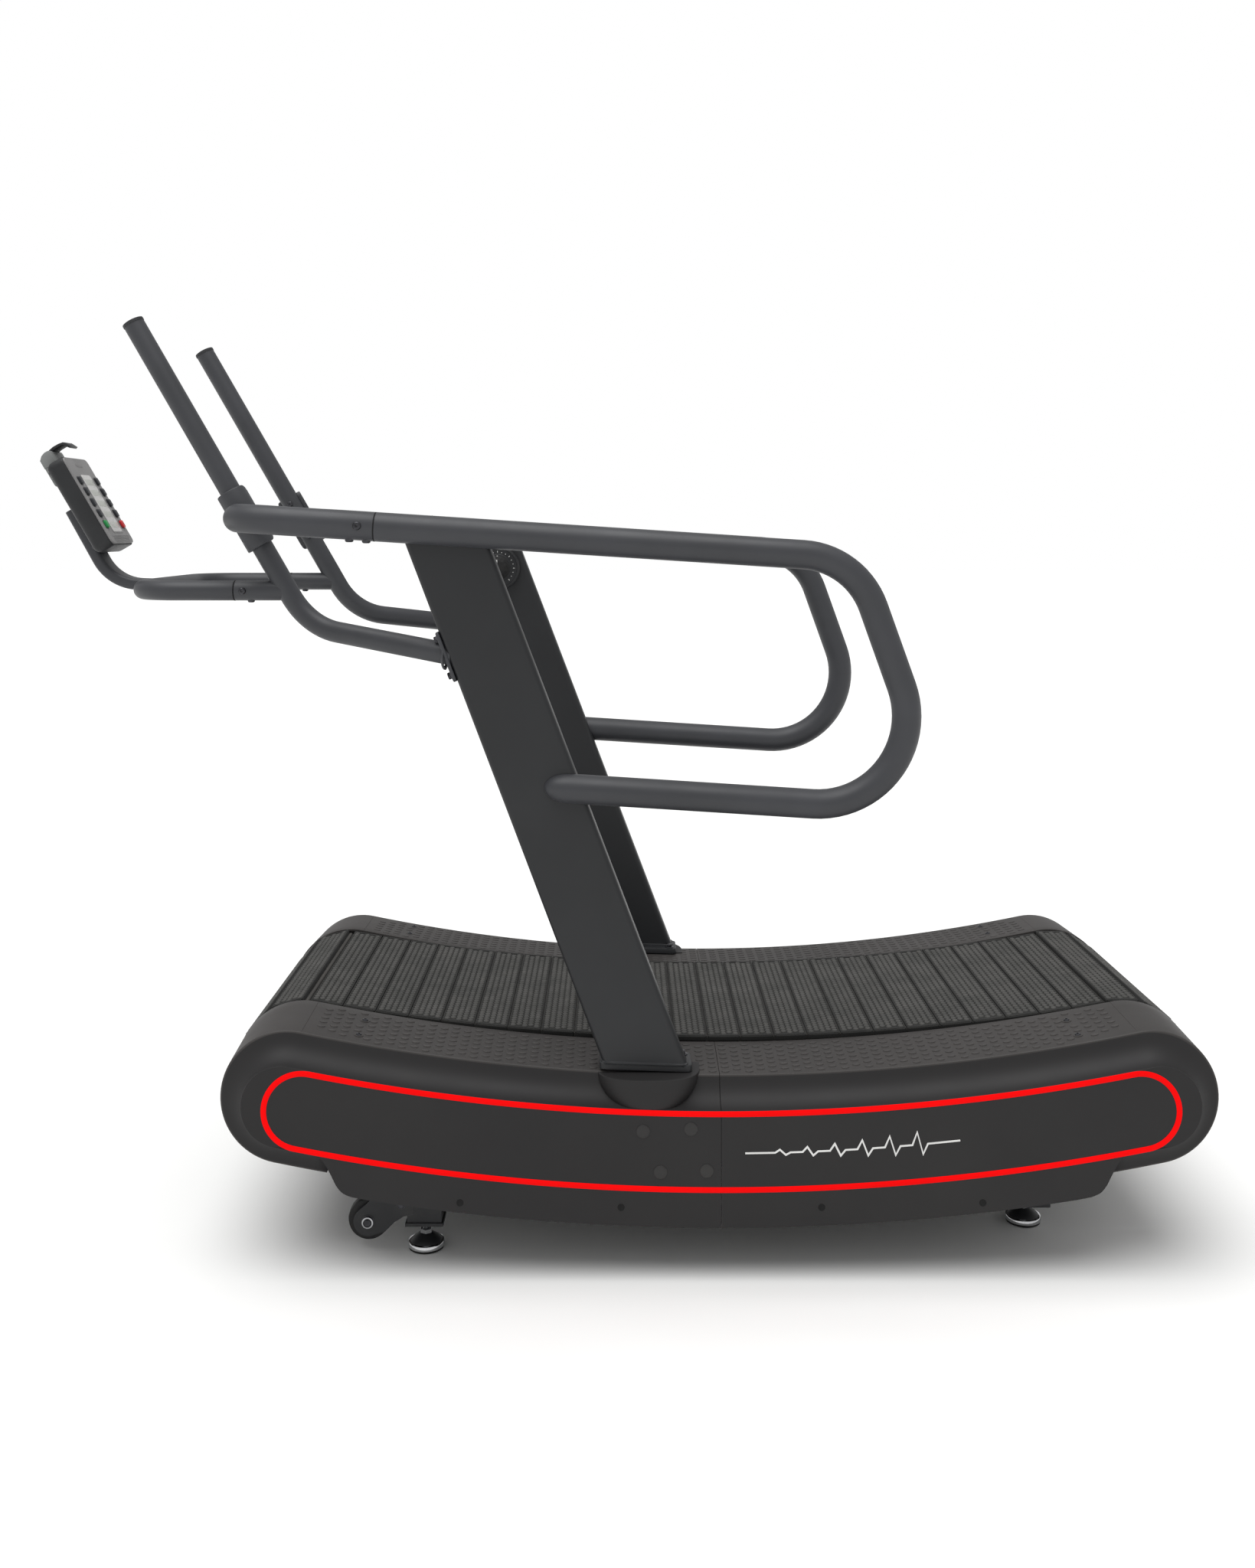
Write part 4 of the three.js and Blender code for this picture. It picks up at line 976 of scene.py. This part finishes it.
def build_handles():
    """Push handles with their end caps, stubs for the console loop, screws and bolted flanges."""
    shape = Shape()
    end = (-452, -POST_W - 3, 1045)
    corners = [(handle_x(1635), -HANDLE_W, 1635), (handle_x(1085), -HANDLE_W, 1085), end]
    tube(shape, corners, [120], HANDLE_R, 40, edge=2.0)
    axis = unit((-HANDLE_SLOPE, 0, 1))
    tip = np.array(corners[0])
    cap = [(-1, -5.6), (0.8, -5), (0.8, -1.4), (0.5, 0.2), (-2, 1.0)]
    rim = [(HANDLE_R + r, h) for r, h in cap]
    lathe(shape, [(0, -5.6), *rim, (0, 1.0)], tip, axis, 40, 1)
    stub = [(LOOP_JOINT_X + GAP, -HANDLE_W, LOOP_Z), (handle_x(LOOP_Z) - 4, -HANDLE_W, LOOP_Z)]
    tube(shape, stub, [], LOOP_R, 36)
    socket_screw(shape, (-847, -HANDLE_W - LOOP_R + 0.6, LOOP_Z), LEFT, 6.5, 2)
    socket_screw(shape, (-835, -HANDLE_W, LOOP_Z - LOOP_R + 0.6), DOWN, 6.5, 2)
    for along in (-39, 39):
        spot = np.array((handle_x(CLAMP_Z), HANDLE_R - 0.6 - HANDLE_W, CLAMP_Z)) + axis * along
        socket_screw(shape, spot, RIGHT, 6.0, 2)
    # Flange on the front face of the upright, with its two bolts
    lean_axis = unit((-sin(LEAN), 0, cos(LEAN)))
    out = unit((-cos(LEAN), 0, -sin(LEAN)))
    flange_z = 1044.0
    face = np.array((post_middle(flange_z) - POST_CHORD / 2, -POST_W, flange_z)) + out * 0.4
    rings = []
    for inset, lift in ((0.8, 0), (0, 0.8), (0, 5.0), (0.9, 6.0)):
        ring = []
        for a, b in rounded_rect(40 - 2 * inset, 90 - 2 * inset, 6, 4):
            ring.append(face + np.array(RIGHT) * a + lean_axis * b + out * lift)
        rings.append(ring)
    shape.rings(rings)
    for b in (-33, 33):
        hex_bolt(shape, face + lean_axis * b + out * 6, out, 6.0, 2)
    weld = [(3.5, -1), (3, 1.5), (0.6, 3.4), (-1, 3.4), (-1, -1), (3.5, -1)]
    lathe(shape, [(HANDLE_R + r, h) for r, h in weld], face + out * 6, unit((-0.99, 0.12, 0.02)), 40)
    shape.pair("push_handle", "tube", [coat, grip_cap, black_steel], "frame", sharp=45)


def build_console_mount():
    """Loop between the push handles, and the flat arm that rises from it to the console."""
    shape = Shape()
    joint_x, front_x = LOOP_JOINT_X - GAP, -1051
    corners = [(joint_x, -HANDLE_W, LOOP_Z), (front_x, -HANDLE_W, LOOP_Z)]
    corners += [(front_x, HANDLE_W, LOOP_Z), (joint_x, HANDLE_W, LOOP_Z)]
    tube(shape, corners, [80, 80], LOOP_R, 40)
    for side in (-1, 1):
        seam_ring(shape, (LOOP_JOINT_X, side * HANDLE_W, LOOP_Z), (1, 0, 0), LOOP_R, 1)
    shape.build("console_loop_tube", "frame", [coat, hole_shade_and_seam_dark], "frame", ["console_loop"], sharp=45)
    arm = Shape()
    top = console_point(-CONSOLE_T - GAP - 11, 0, 8)
    sweep(arm, rounded_rect(22, 52, 7, 5), [top, (-1160, 0, 1155), (-1048, 0, 1151)], [90])
    arm.build("console_arm_bar", "frame", [coat], "frame", ["console_arm"], sharp=40, bevel=1.0)


# ---- console ----
def console_point(depth, y, height):
    """Depth is along the panel's outward normal, height is up the panel."""
    c, s = cos(CONSOLE_LEAN), sin(CONSOLE_LEAN)
    return np.array((CONSOLE_X + depth * c - height * s, y, CONSOLE_Z + depth * s + height * c))


def slab(
    shape, width, height, radius, back, front, y=0, z=0, edge=1.0, mark=0, crown=0.0, back_edge=None,
):
    """Rounded slab in the console's frame, its edges rounded; crown lifts the middle of its face."""
    back_edge = edge if back_edge is None else back_edge
    rings = []

    def ring(inset, depth):
        outline = rounded_rect(width - 2 * inset, height - 2 * inset, max(0.3, radius - inset), 6)
        return [console_point(depth, y + a, z + b) for a, b in outline]

    for a in np.radians(np.linspace(0, 90, 5)):
        rings.append(ring(back_edge * (1 - sin(a)), back + back_edge * (1 - cos(a))))
    for a in np.radians(np.linspace(90, 0, 6)):
        rings.append(ring(edge * (1 - sin(a)), front - edge * (1 - cos(a))))
    if crown:
        for share in (0.3, 0.6, 0.85):
            inset = edge + min(width, height) / 2 * share * 0.95
            rings.append(ring(inset, front + crown * sin(share * pi / 2)))
    shape.rings(rings, mark)


BUTTON_TOP, BUTTON_PITCH, BUTTON_Y = 43.0, 24.5, 45.0


def build_console():
    """Housing, face panel, display window with its fields, and the ten keys."""
    shape = Shape()
    slab(shape, CONSOLE_W, CONSOLE_H, 16, -CONSOLE_T, -3.4, edge=2.2, back_edge=13)
    slab(shape, 74, 60, 8, -CONSOLE_T - 1.6, -CONSOLE_T + 3, 0, -52, edge=1.2)
    for y in (-50, 50):
        for z in (-82, 82):
            socket_screw(shape, console_point(-CONSOLE_T + 0.6, y, z), -heading(CONSOLE_LEAN), 4.2, 1)
    housing = ["console_housing"]
    shape.build("console_housing_case", "frame", [plastic, black_steel], "plastic", housing, sharp=38)
    panel = Shape()
    slab(panel, CONSOLE_W - 6, CONSOLE_H - 6, 11, -5, 0, edge=1.6)
    slab(panel, 56, 134, 6, -1, 0.9, 0, -7, edge=0.8)
    for i in range(5):
        slab(panel, 92 - 3 * i, 1.5, 0.7, -1, 0.9, 0, -80 - 3.0 * i, edge=0.5)
    slab(panel, 32, 9, 4, -1, 0.7, 0, 80, edge=0.6)
    for y in (-BUTTON_Y, BUTTON_Y):
        for row in range(5):
            slab(panel, 16.4, 19.4, 5, -1, 0.55, y, BUTTON_TOP - row * BUTTON_PITCH, edge=0.5, mark=1)
    front = ["console_panel"]
    panel.build("console_panel_face", "frame", [panel_grey, plastic], "panel", front, sharp=38)
    window = Shape()
    slab(window, 50, 128, 4, -2, 1.15, 0, -7, edge=0.5)
    for i in range(5):
        z = 40 - i * 24.0
        slab(window, 40, 13, 1.2, 0.9, 1.35, 0, z, edge=0.2, mark=1)
    window.build("console_screen_window", "frame", [screen, lcd], "screen", ["console_screen"], sharp=38)
    for y, side in ((-BUTTON_Y, "left"), (BUTTON_Y, "right")):
        for row in range(5):
            key = Shape()
            z = BUTTON_TOP - row * BUTTON_PITCH
            slab(key, 13.2, 16.2, 4.2, -6, 4.6, y, z, edge=1.4, crown=0.4)
            name = f"button_{side}_{row + 1}"
            accent = {"left": (green, "green"), "right": (red, "red")}[side]
            finish, slot = accent if row == 4 else (key_grey, "plastic")
            key.build(f"{name}_key", name, [finish], slot, [name], sharp=50)


def console_prism(shape, outline, half, edge, mark):
    """Outline of [depth, height] in the console's frame, thickened across it, its rims rounded off."""
    rings = []
    for y, inset in ((-half, edge), (-half + 0.3 * edge, 0.3 * edge), (-half + edge, 0)):
        ring = []
        for i, p in enumerate(outline):
            before, after = np.array(outline[i - 1]), np.array(outline[(i + 1) % len(outline)])
            along = unit(after - before)
            q = np.array(p) + np.array((-along[1], along[0])) * inset
            ring.append((q[0], y, q[1]))
        rings.append(ring)
    rings += [[(d, -y, h) for d, y, h in ring] for ring in reversed(rings)]
    shape.rings([[console_point(*p) for p in ring] for ring in rings], mark)


def build_phone_holder():
    """Slide behind the housing, a block above it and a hook that comes forward over its top."""
    shape = Shape()
    back, front, bottom, top = -CONSOLE_T - 11, -25.0, CONSOLE_H / 2 + 1, CONSOLE_H / 2 + 29
    slab(shape, 61, 60, 6, back + 0.4, -CONSOLE_T - 0.9, 0, top - 38, edge=1.6)
    for i in range(5):
        slab(shape, 30, 2, 0.9, back - 0.9, back + 2, 0, 69 + 6.5 * i, edge=0.6)
    body = [(back, bottom), (front, bottom), (front, top - 4), (front - 1.5, top - 1.2), (front - 5, top)]
    body += [(back + 15, top), (back + 7, top - 3), (back, top - 10)]
    console_prism(shape, body, 32, 1.8, 0)
    under = [(-34, 124), (-26, 125), (-18, 126.8), (-5, 127), (-1.5, 125.4), (7, 114)]
    over = [(11, 115.8), (5, 127.6), (1, 130.6), (-8, 132.2), (-20, 132.4), (-34, 129.6)]
    console_prism(shape, under + over, 19, 1.2, 1)
    pad = [(-19, 125.8), (-5, 126), (-2.6, 124.8), (-2.8, 127.2), (-19, 127.4)]
    console_prism(shape, pad, 15, 0.4, 2)
    name, finishes = "phone_holder", [holder_grey, plastic, black]
    shape.build("phone_holder_slide", name, finishes, "panel", [name], sharp=38)


# ---- resistance dial ----
def build_dial():
    """Round housing with its scale on the inner face of the right upright, and the fluted knob."""
    low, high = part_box("dial_housing")
    x, z = ((low.x + high.x) / 2 - DECK_X) / MM, (low.z + high.z) / 2 / MM
    face = high.y / MM
    shape = Shape()
    bowl = [(0, 0), (46, 0), (48, 2.6), (48.2, 12.6), (47.4, 15), (45, 16.4), (43, 16.6)]
    bowl += [(42, 15.6), (31, 15.6), (30, 16.6), (28.5, 17), (0, 17)]
    lathe(shape, bowl, (x, face, z), LEFT, 64)
    for i in range(19):
        a = radians(-135 + 15 * i)
        long = 3.6 if i % 3 == 0 else 2.0
        c, s = cos(a), sin(a)
        outline = []
        for along, across in ((34, -0.55), (34, 0.55), (34 + long, 0.55), (34 + long, -0.55)):
            outline.append((x + s * along + c * across, z + c * along - s * across))
        prism(shape, outline, face - 16.0, face - 15.2, 1)
    shape.build("dial_housing_bowl", "frame", [plastic, white], "plastic", ["dial_housing"], sharp=40)
    knob = Shape()
    back = face - 17.3
    rings = []
    skirt = [(26.5, 0, 0), (27, 1, 0), (27, 4.4, 0), (25, 6, 0)]
    grip = [(22.4, 7.6, 1), (21.6, 14, 1), (20.6, 21, 1), (19.4, 23.2, 1)]
    for r, h, ribs in skirt + grip + [(17.4, 24.2, 0), (6, 24.6, 0), (0.01, 24.6, 0)]:
        ring = []
        for a in around(96):
            bite = 0.9 * max(0.0, cos(12 * a)) * ribs
            ring.append((x + (r - bite) * cos(a), back - h, z + (r - bite) * sin(a)))
        rings.append(ring)
    knob.rings(rings)
    block(knob, x - 1.6, x + 1.6, back - 25.4, back - 20, z + 6, z + 18.4, 1)
    block(knob, x - 1.2, x + 1.2, back - 5.2, back - 1.5, z + 22, z + 27.3, 1)
    name = "resistance_knob"
    knob.build("resistance_knob_grip", name, [black, white], "plastic", [name], sharp=40)


# ---- feet, wheels and inner parts ----
HOLDER_Z = {"front": 49.0, "rear": 60.0}  # underside of the brackets that hold the feet


def build_feet():
    """Levelling feet: rubber sole, chrome rim, plastic cone, and a threaded stem with two nuts."""
    sole = [(0, 0), (28, 0), (30.5, 0.8), (31, 3.2), (30, 4.4), (0, 4.4)]
    rim = [(0, 4), (30.8, 4), (32, 5), (32, 10.4), (31, 12.2), (28.6, 13.2), (0, 13.4)]
    cone = [(0, 13), (27.4, 13), (26.6, 14.6), (20, 19.6), (13, 24.6), (9, 26.4), (0, 26.6)]
    nut = [(0, 25.6), (10.2, 25.6), (11, 26.6), (11, 33), (10.2, 34), (0, 34)]
    for where, holder in HOLDER_Z.items():
        for side in ("left", "right"):
            node = f"foot_{where}_{side}"
            at = middle(node)
            origin = ((at.x - DECK_X) / MM, at.y / MM, 0)
            shape = Shape()
            stem = [(0, 33)]
            z = 33.0
            while z < holder + 44:
                stem += [(5.3, z), (6.0, z + 0.75)]
                z += 1.5
            stem += [(5.0, z), (0, z)]
            lock = [(0, -8), (10.4, -8), (11.2, -7), (11.2, -1.4), (10.4, -0.6), (0, -0.6)]
            lock = [(r, holder + h) for r, h in lock]
            turned = ((sole, 48, 1), (rim, 48, 0), (cone, 48, 2), (nut, 6, 3), (stem, 20, 3), (lock, 6, 3))
            for profile, sides, mark in turned:
                lathe(shape, profile, origin, UP, sides, mark)
            finishes = [chrome, black, plastic, steel]
            shape.build(f"{node}_pad", node, finishes, "steel", [node], sharp=30)


def build_wheels():
    """Transport wheels, and the bracket plates that carry them beside the front feet."""
    half_tyre = [(36, 4), (35.8, 8), (34.8, 11), (33, 12), (21, 11), (20, 8)]
    tyre = [(21, -11), (33, -12), (34.8, -11), (35.8, -8), (36, -4)] + half_tyre + [(20, -8), (21, -11)]
    hub = [(6, -11.6), (12, -11.6), (13, -10), (14, -6), (20.6, -5)]
    hub += [(r, -h) for r, h in reversed(hub)] + [(6, -11.6)]
    hub_hole_shade = [(0, -5.6), (2.4, -5.6), (2.4, 5.6), (0, 5.6)]
    for side, sign in (("left", -1), ("right", 1)):
        node = f"transport_wheel_{side}"
        at = middle(node)
        x, y, z = (at.x - DECK_X) / MM, at.y / MM, at.z / MM
        shape = Shape()
        lathe(shape, tyre, (x, y, z), (0, sign, 0), 56, 0)
        lathe(shape, hub, (x, y, z), (0, sign, 0), 40, 1)
        # Near-black plugs in the hub: painted shade standing in for its five holes.
        for a in around(5):
            lathe(shape, hub_hole_shade, (x + 17 * cos(a), y, z + 17 * sin(a)), RIGHT, 12, 2)
        shape.build(f"{node}_tyre", node, [black, plastic, hole_shade_and_seam_dark], "rubber", [node], sharp=35)
    shape = Shape()
    wheel_x, wheel_z = -608.0, 57.0
    face, inner, web = -328, -323, -282.4  # outer and inner face of the plate, and the frame's web
    arm = arc(wheel_x, wheel_z, 25, 130, 300, 22)
    arm += [(-578, 40), (-562, 56), (-546, 66), (-528, 70), (-528, 140), (-572, 140), (-596, 100)]
    prism(shape, arm, face - 1, inner)
    block(shape, -540, -480, face, web, HOLDER_Z["front"], 194)
    block(shape, -543, -477, face - 3, web, HOLDER_Z["front"], 55)
    lathe(shape, [(0, 0), (5.5, 0), (5.5, 34), (0, 34)], (wheel_x, face - 4, wheel_z), RIGHT, 24, 1)
    hex_bolt(shape, (wheel_x, face, wheel_z), LEFT, 6.4, 1)
    spacer = [(5.6, 0), (9.5, 0), (9.5, 2.6), (5.6, 2.6), (5.6, 0)]
    lathe(shape, spacer, (wheel_x, inner, wheel_z), RIGHT, 24, 1)
    for x, z in ((-550, 118), (-550, 88)):
        hex_bolt(shape, (x, face, z), LEFT, 5, 1)
    ring = [(7.4, 0), (10, 0), (10, 2.2), (7.4, 2.8), (7.4, 0)]
    lathe(shape, ring, (wheel_x, face - 4, wheel_z), LEFT, 32, 2)
    finishes = [hidden_coat, black_steel, steel]
    shape.pair("wheel_bracket", "plate", finishes, "frame", bevel=0.8, sharp=35)


def dress_inner_parts():
    """Materials of the solids that stay as they are: frame, rollers, shafts, pulleys and brake."""
    finishes = {
        "side_frame": hidden_coat, "cross_tube": hidden_coat, "roller_rail": hidden_coat,
        "magnet_yoke": coat, "brake_disc": aluminium, "front_pulley": aluminium, "rear_pulley": aluminium,
        "front_bearing": steel, "rear_bearing": steel, "front_drum_shaft": steel, "rear_drum_shaft": steel,
    }
    for node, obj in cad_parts.items():
        if obj.hide_render:
            continue
        finish = next((m for stem, m in finishes.items() if node.startswith(stem)), None)
        if finish is None:
            print("no finish for", node)
            continue
        obj.data.materials.clear()
        obj.data.materials.append(finish)


# ---- studio ----
SKY_LIGHT, KEY_LIGHT = 0.6, 2.4


def build_studio():
    """Pale floor, white backdrop, one soft key light and the camera."""
    scene = bpy.context.scene
    for name in ("Cube", "Light", "Camera"):
        if name in bpy.data.objects:
            bpy.data.objects.remove(bpy.data.objects[name])
    mesh = bpy.data.meshes.new("studio_floor")
    size = 40.0
    corners = [(-size, -size, 0), (size, -size, 0), (size, size, 0), (-size, size, 0)]
    mesh.from_pydata(corners, [], [(0, 1, 2, 3)])
    floor = bpy.data.objects.new("studio_floor", mesh)
    scene.collection.objects.link(floor)
    mesh.materials.append(floor_white)
    world = bpy.data.worlds.new("studio_world")
    scene.world = world
    graph = Graph(world)
    background = graph.nodes["Background"]
    background.inputs["Color"].default_value = (1, 1, 1, 1)
    # The backdrop itself is pure white; the light it sheds is softer.
    seen = graph.node("LightPath", {}, "Is Camera Ray")
    graph.feed(background.inputs["Strength"], graph.ranged(seen, SKY_LIGHT, 1.0, 0, 1))
    sun = bpy.data.lights.new("soft_key", "SUN")
    sun.energy, sun.angle = KEY_LIGHT, radians(55)
    lamp = bpy.data.objects.new("soft_key", sun)
    lamp.rotation_euler = Vector((0.25, 0.3, -1.5)).to_track_quat("-Z", "Y").to_euler()
    scene.collection.objects.link(lamp)
    data = bpy.data.cameras.new("camera")
    data.lens, data.sensor_width = 33.96, 36.0
    data.shift_x, data.shift_y = 0.0056, -0.164
    data.clip_end = 200
    camera = bpy.data.objects.new("camera", data)
    camera.location = (DECK_X - 0.172, -2.9, 1.265)
    camera.rotation_euler = (pi / 2, 0, 0)
    scene.collection.objects.link(camera)
    scene.camera = camera
    scene.view_settings.view_transform = "Standard"


build_covers()
build_stripe()
build_pulse()
build_belt()
build_uprights()
build_handrails()
build_handles()
build_console_mount()
build_console()
build_phone_holder()
build_dial()
build_feet()
build_wheels()
dress_inner_parts()
build_studio()

bpy.context.view_layer.update()
